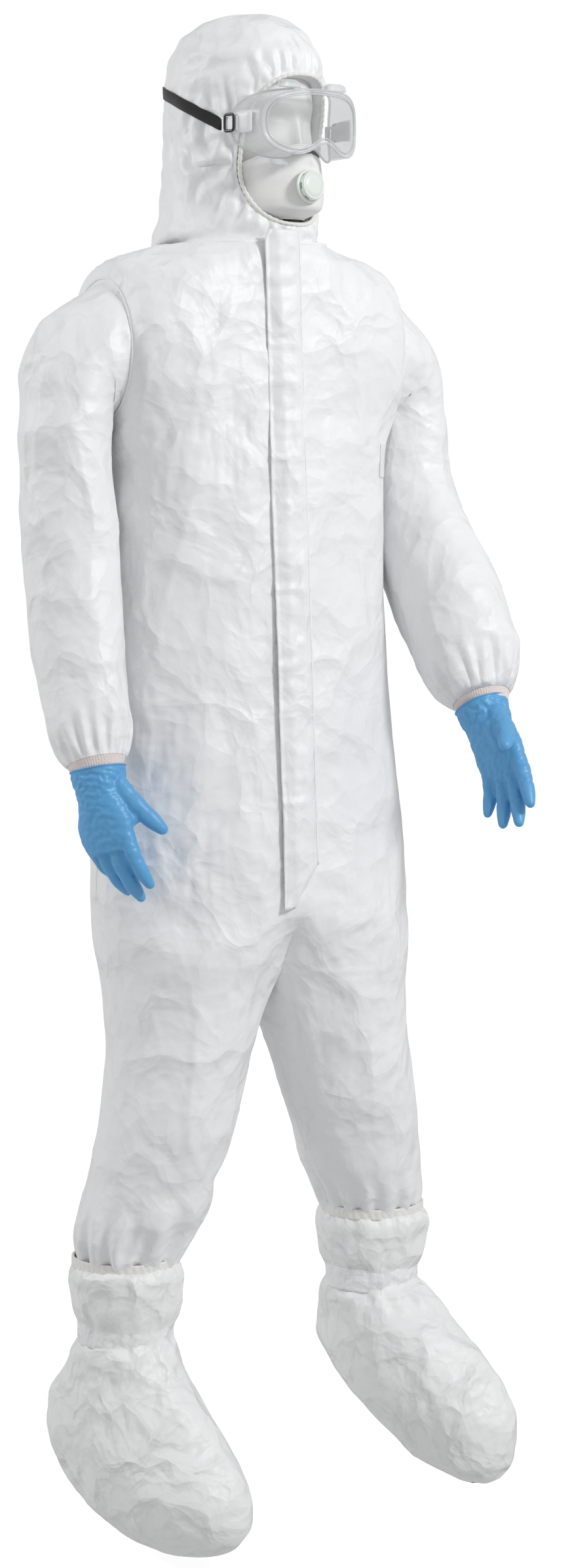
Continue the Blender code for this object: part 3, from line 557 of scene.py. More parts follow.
FABRIC = fabric_material("coverall_film", (0.88, 0.885, 0.895))
BOOT_FABRIC = fabric_material("overboot_film", (0.88, 0.885, 0.89), 0.7, 1.2)

# ---------------------------------------- the coverall's body: torso and legs in one
FRONT_TOP = (1.62, -0.100)
FRONT_BOTTOM = (0.80, -0.152)

# The trunk by height: half width, front and back.
TORSO = np.array([
    (0.800, 0.216, -0.1520, 0.150), (0.880, 0.214, -0.1469, 0.152), (0.970, 0.204, -0.1412, 0.148),
    (1.080, 0.192, -0.1342, 0.134), (1.220, 0.188, -0.1254, 0.146), (1.360, 0.187, -0.1165, 0.164),
    (1.460, 0.191, -0.1101, 0.166), (1.560, 0.197, -0.1038, 0.158), (1.602, 0.188, -0.1011, 0.148),
    (1.624, 0.160, -0.0985, 0.142), (1.639, 0.125, -0.0950, 0.143), (1.652, 0.098, -0.0890, 0.148),
])
# A leg by height: its middle across and front to back, then its half width and half depth.
LEGS = np.array([
    (0.300, 0.185, -0.002, 0.052, 0.054), (0.340, 0.1815, -0.005, 0.064, 0.066),
    (0.400, 0.164, -0.014, 0.077, 0.082), (0.500, 0.139, -0.028, 0.084, 0.092),
    (0.600, 0.118, -0.026, 0.090, 0.102), (0.680, 0.102, -0.014, 0.106, 0.120),
    (0.745, 0.086, -0.004, 0.130, 0.142), (0.7994, 0.080, 0.000, 0.136, 0.150),
])
HALF = 76
INNER = 16
ROW = 0.0078


def leg_lift(side, z):
    return (0.036 if side == "left" else 0.0) * np.clip((0.70 - z) / 0.40, 0, 1)


def leg_at(z):
    return [np.interp(z, LEGS[:, 0], LEGS[:, k]) for k in (1, 2, 3, 4)]


def torso_half(z):
    """From the front centre round the wearer's left to the back centre."""
    a, front, back = (np.interp(z, TORSO[:, 0], TORSO[:, k]) for k in (1, 2, 3))
    power = float(np.interp(z, (1.20, 1.45), (0.90, 0.64)))
    t = np.linspace(-math.pi / 2, math.pi / 2, 241)
    x, y = superellipse(t, a, (back - front) / 2, power)
    return np.stack([x, (front + back) / 2 + y, np.full_like(x, z)], axis=1)


def hips_half(z):
    """The outline round both thighs, as a wearer's-left half."""
    cx, cy, a, b = leg_at(z)
    nip = math.acos(min(1, cx / a))
    t = np.linspace(math.pi + nip, 3 * math.pi - nip, 241)
    return np.stack([cx + a * np.cos(t), cy + b * np.sin(t), np.full_like(t, z)], axis=1)


body_rows = []
levels = list(np.arange(NECK_Z, 1.60, -0.0052)) + list(np.arange(1.60, CROTCH_Z, -ROW))
for z in levels:
    if z > 0.80:
        half = resample(torso_half(z), HALF)
    else:
        s = float(smoothstep(z, 0.80, 0.735))
        trunk = resample(torso_half(max(z, 0.80)), HALF)
        hips = resample(hips_half(min(z, 0.80)), HALF)
        half = trunk * (1 - s) + hips * s
        half[:, 2] = z
    other = half[1:-1][::-1].copy()
    other[:, 0] *= -1
    body_rows.append(np.concatenate([half, other]))
body_rows = smooth_rows(body_rows, 6, 2)
ring = 2 * HALF
verts = body_rows.reshape(-1, 3).tolist()
faces = grid(len(body_rows), ring, True)
last = (len(body_rows) - 1) * ring
split = []
base = len(verts)
for k in range(1, INNER):
    t = k / INNER
    p = body_rows[-1][HALF] * (1 - t) + body_rows[-1][0] * t
    p[2] += 0.012 * math.sin(math.pi * t)
    verts.append(p.tolist())
    split.append(base + k - 1)
for side in ("left", "right"):
    sign = SIGN[side]
    outer = [last + (sign * k) % ring for k in range(HALF + 1)]
    loop = outer + split
    leg_z = np.arange(CROTCH_Z - ROW, 0.2995, -ROW)
    rows = []
    for z in leg_z:
        cx, cy, a, b = leg_at(z)
        nip = np.interp(z, (0.45, CROTCH_Z), (0.52, 0.46))
        t1 = np.linspace(math.pi + nip, 3 * math.pi - nip, 241)
        t2 = np.linspace(3 * math.pi - nip, 3 * math.pi + nip, 61)
        outer_line = resample(np.stack([cx + a * np.cos(t1), cy + b * np.sin(t1)], axis=1), HALF)
        inner_line = resample(np.stack([cx + a * np.cos(t2), cy + b * np.sin(t2)], axis=1), INNER)[1:-1]
        line = np.concatenate([outer_line, inner_line])
        line[:, 0] = np.maximum(line[:, 0], 0.0005)
        rows.append(np.concatenate([line, np.full((len(line), 1), z + leg_lift(side, z))], axis=1))
    top = np.array([verts[k] for k in loop])
    top[:, 0] *= sign
    rows = smooth_rows([top] + rows, 6)[1:]
    rows[..., 0] *= sign
    start = len(verts)
    verts += rows.reshape(-1, 3).tolist()
    count = len(loop)
    for c in range(count):
        d = (c + 1) % count
        quad = (loop[c], loop[d], start + d, start + c)
        faces.append(quad if side == "left" else quad[::-1])
    for f in grid(len(rows), count, True, start):
        faces.append(f if side == "left" else f[::-1])

# The armholes: the flank runs out to a flat ring in the plane that the sleeve turns in.
points = np.array(verts)
inside = np.zeros(len(points), bool)
for side, centre in ARMHOLE.items():
    sign = SIGN[side]
    r = np.hypot(points[:, 1] - centre[1], points[:, 2] - centre[2])
    flank = (points[:, 0] * sign > 0.02) & (points[:, 2] > 1.30)
    pull = flank * (1 - smoothstep(r, ARMHOLE_R, ARMHOLE_R + 0.062))
    points[:, 0] = points[:, 0] * (1 - pull) + centre[0] * pull
    inside |= flank & (r < ARMHOLE_R)
faces, used = open_hole(faces, inside)
rim = used & inside
for side, centre in ARMHOLE.items():
    mine = np.nonzero(rim & (points[:, 0] * SIGN[side] > 0))[0]
    d = points[mine][:, 1:] - centre[1:]
    d *= ARMHOLE_R / np.linalg.norm(d, axis=1, keepdims=True)
    points[mine, 0] = centre[0]
    points[mine, 1:] = centre[1:] + d
body = piece("coverall_body", points[used], renumbered(faces, used), FABRIC)


def smooth_side_of(at):
    """1 on the wearer's left of the chest and belly, where the cloth hangs flat."""
    return smoothstep(at[:, 0], -0.02, 0.06) * smoothstep(at[:, 2], 0.75, 0.95) * (at[:, 1] < 0.02)


def relax(obj, fixed, passes, share=0.5):
    (near, live), _ = neighbours(obj)
    mean = averaging(live)
    pos = coords(obj)
    free = (1 - fixed)[:, None]
    for _ in range(passes):
        middle = (pos[near] * mean[..., None]).sum(axis=1)
        pos = pos + (middle - pos) * share * free
    set_coords(obj, pos)


rim_body = boundary(body)
floor_points = coords(body) - SHIFT
near_arm = np.zeros(len(floor_points))
for side, centre in ARMHOLE.items():
    r = np.linalg.norm(floor_points - centre, axis=1)
    near_arm = np.maximum(near_arm, 1 - smoothstep(r, 0.10, 0.17))
relax(body, 1 - near_arm * (1 - rim_body), 12)

floor_points = coords(body) - SHIFT
x, y, z = floor_points.T
held = rim_body.astype(float)
held = np.maximum(held, 1 - smoothstep(NECK_Z - z, 0.004, 0.020))
for side, centre in ARMHOLE.items():
    r = np.linalg.norm(floor_points - centre, axis=1)
    held = np.maximum(held, 1 - smoothstep(r, ARMHOLE_R + 0.004, ARMHOLE_R + 0.022))
front = (y < 0) & (z > 0.78)
held = np.maximum(held, front * (1 - smoothstep(np.abs(x), 0.030, 0.050)))
for side in ("left", "right"):
    ankle_z = 0.300 + leg_lift(side, 0.30)
    mine = (x * SIGN[side] > 0) & (z < 0.5)
    held = np.maximum(held, mine * (1 - smoothstep(z, ankle_z + 0.002, ankle_z + 0.010)))
down = np.tile(np.array((0.0, 0.0, 1.0)), (len(x), 1))
smooth_side = smooth_side_of(floor_points)
along = 0.002 + 0.010 * field(floor_points, 4, 2.0) * (1 - smooth_side)
across = 0.030 + 0.035 * field(floor_points, 3.5, 5.0, stretch=(1, 1, 0.4))
across = across * (1 - 0.85 * smooth_side)
gather = 1 - smoothstep(z, 0.33, 0.43)
across = across + 0.30 * gather
drape(body, down, along, across, 1 - held, rounds=220, seed=1.0, kick_scale=7,
      kick_stretch=(1.2, 1.2, 0.3), bend=0.06)
crinkle(body, held, 0.022, 41.0)
rumple(body, 81.0, 0.0110, 1 - 0.80 * smooth_side_of(coords(body) - SHIFT))
belongs(body, "torso", "coverall_fabric", "coverall_front_left", "coverall_front_right", "coverall_back",
        "trouser_leg_right", "trouser_leg_left")

# ---------------------------------------- sleeves
# Each sleeve: points along its middle, then its half depth and half width at each.
ARMS = {
    "right": (
        [(-0.1995, 0.026, 1.515), (-0.238, 0.024, 1.507), (-0.257, 0.014, 1.44), (-0.259, 0.004, 1.34),
         (-0.262, -0.008, 1.25), (-0.264, -0.030, 1.14), (-0.264, -0.060, 1.05), (-0.262, -0.083, 0.99)],
        [(ARMHOLE_R, ARMHOLE_R), (0.086, 0.074), (0.072, 0.056), (0.068, 0.056), (0.068, 0.056),
         (0.067, 0.056), (0.058, 0.052), (0.040, 0.038)],
    ),
    "left": (
        [(0.1995, 0.026, 1.515), (0.231, 0.028, 1.507), (0.246, 0.028, 1.44), (0.248, 0.018, 1.345),
         (0.250, -0.026, 1.26), (0.252, -0.090, 1.18), (0.252, -0.148, 1.115), (0.252, -0.180, 1.06)],
        [(ARMHOLE_R, ARMHOLE_R), (0.086, 0.070), (0.072, 0.049), (0.070, 0.052), (0.076, 0.059),
         (0.081, 0.064), (0.071, 0.061), (0.040, 0.038)],
    ),
}
SLEEVE_COLS = 84
SLEEVE_ROWS = 84
for side, (path, widths) in ARMS.items():
    sign = SIGN[side]
    path = np.array(path)
    knots = np.concatenate([[0], np.cumsum(np.linalg.norm(np.diff(path, axis=0), axis=1))])
    at = np.linspace(0, knots[-1], SLEEVE_ROWS)
    line = np.stack([np.interp(at, knots, path[:, k]) for k in range(3)], axis=1)
    line = smooth_rows(line, 30)
    wide = smooth_rows(np.stack([np.interp(at, knots, [w[k] for w in widths]) for k in (0, 1)], axis=1), 8)
    rows = []
    ways = np.gradient(line, axis=0)
    ways /= np.linalg.norm(ways, axis=1, keepdims=True)
    turn_in = smoothstep(at, 0.0, 0.10)
    t = circle(SLEEVE_COLS)
    for k in range(SLEEVE_ROWS):
        way = ways[k] * turn_in[k] + np.array((sign, 0, 0)) * (1 - turn_in[k])
        way /= np.linalg.norm(way)
        u = np.array((0, 1.0, 0)) - way * way[1]
        u /= np.linalg.norm(u)
        v = np.cross(way, u)
        rows.append(line[k] + np.outer(np.cos(t) * wide[k, 0], u) + np.outer(np.sin(t) * wide[k, 1], v))
    rows = np.array(rows)
    made = piece("sleeve_fabric_" + side, rows.reshape(-1, 3), grid(SLEEVE_ROWS, SLEEVE_COLS, True), FABRIC)
    row_at = np.repeat(at, SLEEVE_COLS)
    total = knots[-1]
    held = np.maximum(1 - smoothstep(row_at, 0.002, 0.020), smoothstep(row_at, total - 0.010, total - 0.003))
    where = coords(made)
    elbow = np.exp(-((row_at - 0.27) / 0.10) ** 2)
    along = 0.002 + 0.010 * elbow + 0.010 * field(where, 6, 9.0)
    across = 0.035 + 0.04 * field(where, 4, 11.0, stretch=(1, 1, 0.5))
    across = across + 0.32 * smoothstep(row_at, total - 0.075, total - 0.005)
    drape(made, np.repeat(ways, SLEEVE_COLS, axis=0), along, across, 1 - held, rounds=200,
          seed=3.0 + sign, kick_scale=10, kick_stretch=(1, 1, 0.35), out=0.015, bend=0.04)
    crinkle(made, held, 0.022, 43.0 + sign)
    rumple(made, 83.0 + sign, 0.0120, 1.0)
    belongs(made, "arm_" + side, "coverall_fabric", "sleeve_" + side)

# ---------------------------------------- hood
# The hood by height: half width, front and back.
HOOD = np.array([
    (1.6565, 0.097, -0.089, 0.148), (1.690, 0.088, -0.094, 0.141), (1.735, 0.086, -0.100, 0.134),
    (1.780, 0.087, -0.106, 0.129), (1.820, 0.0885, -0.109, 0.126), (1.860, 0.088, -0.108, 0.123),
    (1.895, 0.082, -0.100, 0.115), (1.920, 0.070, -0.084, 0.100), (1.938, 0.050, -0.060, 0.076),
    (1.947, 0.024, -0.030, 0.044), (1.9485, 0.002, 0.004, 0.008),
])
HOOD_COLS = 144
FACE_Z = 1.767
FACE_HALF = (0.070, 0.101)
FACE_LOW = 0.093
FACE_POWER = 0.75


def hood_at(z):
    """The hood's half width, front and back at a height."""
    return [np.interp(z, HOOD[:, 0], HOOD[:, k]) for k in (1, 2, 3)]


meridian = resample(np.stack([HOOD[:, 1], HOOD[:, 0], HOOD[:, 2], HOOD[:, 3]], axis=1)[:, :2], 72)
hood_rows = []
for a, z in meridian:
    _, front, back = hood_at(z)
    t = circle(HOOD_COLS) - math.pi / 2
    deep = (front + back) / 2 + (back - front) / 2 * np.sin(t)
    hood_rows.append(np.stack([a * np.cos(t), deep, np.full_like(t, z)], axis=1))
hood_rows = smooth_rows(hood_rows, 4)
hood_rows = turn(hood_rows, HEAD_YAW)
neck_half = resample(torso_half(NECK_Z), HOOD_COLS // 2)
other = neck_half[1:-1][::-1].copy()
other[:, 0] *= -1
neck_ring = np.concatenate([neck_half, other])
join = []
for k in range(1, 4):
    join.append(neck_ring * (1 - k / 4) + hood_rows[0] * k / 4)
hood_rows = np.concatenate([[neck_ring], join, hood_rows])
flat = smooth_rows(hood_rows, 8)
share = 1 - smoothstep(hood_rows[..., 2:3], 1.69, 1.72)
hood_rows = hood_rows * (1 - share) + flat * share
points, faces = closed_tip(hood_rows)
local = turn(points, -HEAD_YAW)


def face_radius(px, pz):
    """1 on the face opening's edge, less inside it."""
    tall = np.where(pz > FACE_Z, FACE_HALF[1], FACE_LOW)
    bend = 2 / FACE_POWER
    return (np.abs(px / FACE_HALF[0]) ** bend + np.abs((pz - FACE_Z) / tall) ** bend) ** (1 / bend)


rho = face_radius(local[:, 0], local[:, 2])
inside = (rho < 1.0) & (local[:, 1] < 0.02)
faces, used = open_hole(faces, inside)
rim = np.nonzero(used & inside)[0]


def hood_front(px, pz):
    a, front, back = hood_at(pz)
    return (front + back) / 2 - (back - front) / 2 * np.sqrt(np.maximum(0, 1 - (px / a) ** 2))


local[rim, 0] /= rho[rim]
local[rim, 2] = FACE_Z + (local[rim, 2] - FACE_Z) / rho[rim]
local[rim, 1] = hood_front(local[rim, 0], local[rim, 2])
points = turn(local, HEAD_YAW)
hood = piece("hood_fabric", points[used], renumbered(faces, used), FABRIC)
edge = boundary(hood)
where = coords(hood) - SHIFT
local = turn(where, -HEAD_YAW)
rho = face_radius(local[:, 0], local[:, 2])
in_front = local[:, 1] < 0.02
near_face = in_front * (1 - smoothstep(rho, 1.0, 1.25))
relax(hood, 1 - near_face * (1 - edge) * 0.9, 8)
where = coords(hood) - SHIFT
local = turn(where, -HEAD_YAW)
held = edge.astype(float)
held = np.maximum(held, 1 - smoothstep(where[:, 2], NECK_Z + 0.002, NECK_Z + 0.016))
held = np.maximum(held, in_front * (1 - smoothstep(rho, 1.0, 1.05)))
outward = np.stack([local[:, 0], np.zeros(len(local)), local[:, 2] - FACE_Z], axis=1)
outward = turn(outward, HEAD_YAW)
outward /= np.linalg.norm(outward, axis=1, keepdims=True) + 1e-9
along = 0.012 + 0.02 * field(where, 8, 21.0)
across = 0.03 + 0.03 * field(where, 8, 23.0) + 0.22 * in_front * (1 - smoothstep(rho, 1.0, 1.45))
drape(hood, outward, along, across, 1 - held, rounds=150, seed=7.0, kick_scale=14, out=0.009, into=0.005,
      bend=0.03)
crinkle(hood, held, 0.02, 47.0, out=0.003)
rumple(hood, 87.0, 0.0048, 1.0)
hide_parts("hood_crown")
blend_over(hood)

# ---------------------------------------- overboots
BOOT_YAW = math.radians(25)
BOOTS = {"right": np.array((-0.186, 0.000, 0.200)), "left": np.array((0.186, -0.006, 0.236))}
# An overboot above the ankle, by height: half width and half depth.
SHAFT = [(0.118, 0.066, 0.068), (0.101, 0.073, 0.075), (0.072, 0.070, 0.072), (0.040, 0.0590, 0.0610),
         (0.012, 0.0590, 0.0610)]
# Below it, by height: how far back the heel and forward the toe reach, then the half width.
FOOT = {
    "right": [(-0.032, -0.088, 0.082, 0.066), (-0.068, -0.116, 0.118, 0.070), (-0.108, -0.122, 0.152, 0.073),
              (-0.143, -0.110, 0.180, 0.074), (-0.178, -0.088, 0.198, 0.072), (-0.212, -0.052, 0.200, 0.064),
              (-0.243, 0.004, 0.176, 0.043), (-0.258, 0.060, 0.130, 0.016), (-0.2595, 0.093, 0.097, 0.002)],
    "left": [(-0.030, -0.072, 0.118, 0.065), (-0.066, -0.076, 0.168, 0.069), (-0.102, -0.052, 0.202, 0.070),
             (-0.138, -0.014, 0.220, 0.067), (-0.172, 0.030, 0.224, 0.058), (-0.204, 0.080, 0.220, 0.044),
             (-0.226, 0.130, 0.206, 0.024), (-0.234, 0.152, 0.190, 0.009), (-0.2355, 0.168, 0.174, 0.002)],
}
BOOT_COLS = 72
for side, ankle in BOOTS.items():
    way = np.array((math.sin(BOOT_YAW), -math.cos(BOOT_YAW), 0.0))
    lateral = np.cross(way, (0, 0, 1.0))
    rings = [(h, 0.0, a, b) for h, a, b in SHAFT]
    rings += [(h, (heel + toe) / 2, a, (toe - heel) / 2) for h, heel, toe, a in FOOT[side]]
    rings = resample(np.array(rings), 78)
    rings = smooth_rows(rings, 5)
    t = circle(BOOT_COLS)
    rows = []
    for h, c, a, b in rings:
        middle = ankle + np.array((0, 0, h)) + way * c
        rows.append(middle + np.outer(np.cos(t) * a, lateral) + np.outer(np.sin(t) * b, way))
    rows = np.array(rows)
    points, faces = closed_tip(rows)
    made = piece("overboot_fabric_" + side, points, faces, BOOT_FABRIC)
    where = coords(made) - SHIFT - ankle
    h = where[:, 2]
    tied = smoothstep(h, 0.006, 0.014) * (1 - smoothstep(h, 0.038, 0.046))
    held = np.maximum(smoothstep(h, 0.112, 0.117), tied)
    band_near = np.exp(-((h - 0.026) / 0.034) ** 2) + smoothstep(h, 0.09, 0.118)
    along = 0.003 + 0.012 * field(where, 8, 31.0)
    across = 0.030 + 0.03 * field(where, 6, 33.0) + 0.18 * np.minimum(1, band_near)
    axis = np.tile(np.array((0, 0, 1.0)), (len(h), 1))
    drape(made, axis, along, across, 1 - held, rounds=200, seed=13.0 + SIGN[side], kick_scale=10,
          out=0.013, bend=0.04, kick_stretch=(1, 1, 0.4))
    crinkle(made, held, 0.022, 53.0 + SIGN[side])
    rumple(made, 89.0 + SIGN[side], 0.0110, 1.0)
    belongs(made, "torso", "coverall_fabric", "overboot_upper_" + side)

# ---------------------------------------- trims laid on the settled cloth
def tree_of(obj):
    """A search tree over a piece's faces, in the frame that its vertices are in."""
    verts = [Vector(p) for p in coords(obj)]
    return BVHTree.FromPolygons(verts, [tuple(f.vertices) for f in obj.data.polygons])


def onto(tree, line):
    """Each floor-frame point moved to the nearest place on a surface, with the outward direction there."""
    places, outward = [], []
    for p in np.asarray(line, float) + SHIFT:
        spot, normal, _, _ = tree.find_nearest(Vector(p))
        places.append(np.array(spot) - SHIFT)
        outward.append(np.array(normal))
    return np.array(places), np.array(outward)


def ribbon(name, line, up, profile, material, closed=False, smooth=True):
    """A closed section of (across, up) points carried along a line. up is a direction at each point."""
    line = np.asarray(line, float)
    way = np.roll(line, -1, 0) - np.roll(line, 1, 0) if closed else np.gradient(line, axis=0)
    way /= np.linalg.norm(way, axis=1, keepdims=True) + 1e-12
    up = np.broadcast_to(np.asarray(up, float), line.shape).copy()
    up -= way * (up * way).sum(axis=1, keepdims=True)
    up /= np.linalg.norm(up, axis=1, keepdims=True) + 1e-12
    across = np.cross(way, up)
    rows = np.stack([line + across * a + up * b for a, b in profile], axis=1)
    count, sides = rows.shape[:2]
    faces = grid(count, sides, True)
    if closed:
        end = (count - 1) * sides
        faces += [(end + c, end + (c + 1) % sides, (c + 1) % sides, c) for c in range(sides)]
    else:
        faces += [tuple(range(sides)), tuple((count - 1) * sides + k for k in range(sides))]
    return piece(name, rows.reshape(-1, 3), faces, material, smooth)


def round_profile(a, b, sides=8):
    t = circle(sides)
    return [(a * math.cos(k), b * math.sin(k)) for k in t]


def smooth_line(line, passes, closed=False):
    line = np.array(line, float)
    for _ in range(passes):
        if closed:
            line = (np.roll(line, 1, 0) + 2 * line + np.roll(line, -1, 0)) / 4
        else:
            line[1:-1] = (line[:-2] + 2 * line[1:-1] + line[2:]) / 4
    return line


def even_loop(loop, count, passes):
    """A closed line resampled to count even points and smoothed."""
    return smooth_line(resample(np.concatenate([loop, loop[:1]]), count)[:-1], passes, True)


SEAM_PROFILE = [(-0.0022, -0.0012), (-0.0020, 0.0003), (-0.0009, 0.0008), (0.0, 0.0004), (0.0009, 0.0008),
                (0.0020, 0.0003), (0.0022, -0.0012)]
ROLLED_SEAM = round_profile(0.0026, 0.0015, 10)


def seam(name, tree, line, body, closed=False, passes=2):
    """A taped seam: a thin double ridge that lies on the cloth."""
    line, up = onto(tree, line)
    line = smooth_line(line, passes, closed)
    up = smooth_line(up, 4, closed)
    made = ribbon(name, line, up, SEAM_PROFILE, SEAM, closed)
    belongs(made, body, "coverall_fabric")
    return made


SEAM = fabric_material("seam_tape", (0.90, 0.905, 0.91), 0.15, 2.0)
ARMHOLE_STEPS = 120
body_tree = tree_of(body)
for side, centre in ARMHOLE.items():
    t = circle(ARMHOLE_STEPS)
    outward = np.stack([np.zeros(ARMHOLE_STEPS), np.cos(t), np.sin(t)], axis=1)
    rim_line = centre + outward * (ARMHOLE_R + 0.0012)
    made = ribbon("armhole_seam_" + side, rim_line, outward, ROLLED_SEAM, SEAM, True)
    belongs(made, "torso", "coverall_fabric")
neck_line = np.array(neck_ring)
outward = neck_line - neck_line.mean(axis=0)
made = ribbon("neck_seam", neck_line, outward, ROLLED_SEAM, SEAM, True)
belongs(made, "torso", "coverall_fabric")
for side in ("right", "left"):
    sign = SIGN[side]
    flank = np.linspace(1.425, 0.80, 150)
    start = [(sign * np.interp(z, TORSO[:, 0], TORSO[:, 1]), 0.012, z) for z in flank]
    seam("side_seam_" + side, body_tree, start, "torso", passes=4)
    inner = []
    for z in np.linspace(0.655, 0.335, 90):
        cx, cy, a, b = leg_at(z)
        inner.append((sign * (cx - a), cy, z + leg_lift(side, z)))
    seam("inseam_" + side, body_tree, inner, "torso", passes=4)
crotch = [(0.0, y, 0.70) for y in np.linspace(-0.10, 0.10, 40)]
seam("crotch_seam", body_tree, crotch, "torso", passes=4)
around = circle(240)
waist = [(0.19 * math.cos(t), 0.14 * math.sin(t), WAIST_Z) for t in around]
back_waist = [p for p in waist if p[1] > 0]
seam("waist_elastic_stitch", body_tree, back_waist, "torso", passes=4)

# ---------------------------------------- zip and storm flap, on the straight front line
DOWN = np.array((0.0, FRONT_BOTTOM[1] - FRONT_TOP[1], FRONT_BOTTOM[0] - FRONT_TOP[0]))
DOWN /= np.linalg.norm(DOWN)
OUT = np.array((0.0, DOWN[2], -DOWN[1]))
ZIP_TOP = np.array((0.0, FRONT_TOP[1], FRONT_TOP[0]))
ZIP_END = 0.800
FLAP_TOP, FLAP_BOTTOM = -0.046, 0.826
FLAP_HINGE_X, FLAP_FREE, FLAP_TIP_X = 0.0215, -0.030, -0.012
FLAP_TAPER = 0.055


def zip_point(s, x, n):
    """A place on the front: s down from the zip's top, x across, n out from the fabric."""
    return ZIP_TOP + DOWN * s + OUT * n + np.array((x, 0.0, 0.0))


TOOTH = 0.0026
teeth_verts, teeth_faces = [], []
for k in range(int((ZIP_END - 0.006) / TOOTH)):
    hand = 1 if k % 2 else -1
    s = 0.003 + k * TOOTH
    x0, x1 = hand * 0.0030, -hand * 0.0006
    base = len(teeth_verts)
    for n, shrink in ((-0.0004, 0.0), (0.0014, 0.0002)):
        outer, tip = 0.0011 - shrink, 0.0008 - shrink
        for x, away in ((x0, -outer), (x1, -tip), (x1, tip), (x0, outer)):
            teeth_verts.append(zip_point(s + away, x, n))
    for quad in ((0, 1, 2, 3), (7, 6, 5, 4), (0, 4, 5, 1), (1, 5, 6, 2), (2, 6, 7, 3), (3, 7, 4, 0)):
        teeth_faces.append(tuple(base + q for q in quad))
ADHESIVE = surface("flap_adhesive_strip", (0.84, 0.82, 0.72), 0.35, 500, 0.00005)
ZIP_PLASTIC = surface("zip_plastic", (0.86, 0.87, 0.88), 0.35, 260, 0.00006)
TAPE = weave("zip_tape", (0.87, 0.88, 0.89), 0.7, 1400, 0.00010)
teeth = piece("zip_teeth", teeth_verts, teeth_faces, ZIP_PLASTIC, False)
belongs(teeth, "torso", "zip_white", "zip_chain")

FLAP_ROWS, FLAP_COLS = 220, 22
flap_rows = []
s_at = np.linspace(FLAP_TOP, FLAP_BOTTOM, FLAP_ROWS)
for s in s_at:
    free = FLAP_FREE + 0.006 * (1 - smoothstep(s, FLAP_TOP, FLAP_TOP + 0.012))
    hinge = float(np.interp(s, (FLAP_BOTTOM - FLAP_TAPER, FLAP_BOTTOM), (FLAP_HINGE_X, FLAP_TIP_X)))
    row = []
    for k in range(FLAP_COLS):
        share = k / (FLAP_COLS - 1)
        x = hinge + (free - hinge) * share
        n = 0.0012 + 0.0090 * float(smoothstep(hinge - x, -0.001, 0.0115))
        n -= 0.0062 * float(smoothstep(-x, 0.008, 0.027))
        row.append(zip_point(s, x, n))
    flap_rows.append(row)
flap_points = np.array(flap_rows).reshape(-1, 3)
s_all = np.repeat(s_at, FLAP_COLS)
share = np.tile(np.linspace(0, 1, FLAP_COLS), FLAP_ROWS)
ripple = field(np.stack([share * 0.05, s_all * 0 + 2, s_all], axis=1), 9.0, 61.0) + 0.15
broad = field(np.stack([share * 0.02, s_all * 0, s_all], axis=1), 4.0, 63.0)
rise = 0.0006 + 0.0050 * np.clip(ripple, 0, 1) + 0.0055 * np.clip(broad, 0, 1)
lift = smoothstep(share, 0.45, 1.0) * rise
packing = sum(np.exp(-((s_all - c) / 0.004) ** 2) for c in (0.10, 0.245, 0.415, 0.69))
lift += 0.0005 * packing * smoothstep(share, 0.2, 0.5)
sway = 0.0016 * field(np.stack([s_all * 0, s_all * 0 + 5, s_all], axis=1), 6.0, 67.0)
sway = sway * smoothstep(share, 0.4, 1.0)
stitch = np.exp(-((share - 0.90) / 0.030) ** 2) * -0.0007 + np.exp(-((share - 0.24) / 0.030) ** 2) * -0.0005
flap_points = flap_points + np.outer(lift + stitch, OUT) + np.outer(sway, (1.0, 0, 0))
flap = piece("storm_flap_fabric", flap_points, grid(FLAP_ROWS, FLAP_COLS, False), FABRIC)
normals = vertex_normals(flap)
if (normals @ OUT).mean() < 0:
    flap.data.flip_normals()
held = np.maximum(1 - smoothstep(share, 0.05, 0.30), 0.25 * smoothstep(share, 0.9, 1.0))
down_all = np.tile(DOWN, (len(share), 1))
drape(flap, down_all, 0.012 + 0.03 * share, np.full(len(share), 0.012), 1 - held, rounds=90, bend=0.03,
      out=0.004, into=0.0002, seed=65.0, kick=0.0008, kick_scale=30)
thicken(flap, 0.0012, 1.0)
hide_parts("storm_flap")
blend_over(flap)
strip = coords(flap).reshape(FLAP_ROWS, FLAP_COLS, 3)[24:200, 16:21] - SHIFT
strip = strip - OUT * 0.0004
made = piece("adhesive_tape", strip.reshape(-1, 3), grid(176, 5, False), ADHESIVE)
thicken(made, 0.0003)
belongs(made, "flap", "trim_elastic", "flap_adhesive")
sewn = np.linspace(FLAP_TOP, FLAP_BOTTOM - FLAP_TAPER, 120)
line = [zip_point(s, FLAP_HINGE_X + 0.0012, 0.0009) for s in sewn]
made = ribbon("flap_seam", line, OUT, SEAM_PROFILE, SEAM)
belongs(made, "torso", "coverall_fabric")

# ---------------------------------------- a blank care patch pressed on the chest
label_low, label_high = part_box("chest_label")
centre = (np.array(label_low) + np.array(label_high)) / 2 - SHIFT
LABEL = surface("label_print", (0.82, 0.83, 0.85), 0.5, 500, 0.00004)
patch = []
for v in np.linspace(-0.024, 0.024, 19):
    for u in np.linspace(-0.016, 0.016, 13):
        patch.append((centre[0] + u, centre[1] + u * 0.75, centre[2] + v))
places, outward = onto(body_tree, patch)
outward = np.tile(outward.mean(axis=0), (len(places), 1))
made = piece("chest_patch", places + outward * 0.0010, grid(19, 13, False), LABEL)
relax(made, np.zeros(len(places)), 6)
thicken(made, 0.0006)
belongs(made, "torso", "coverall_fabric", "chest_label")

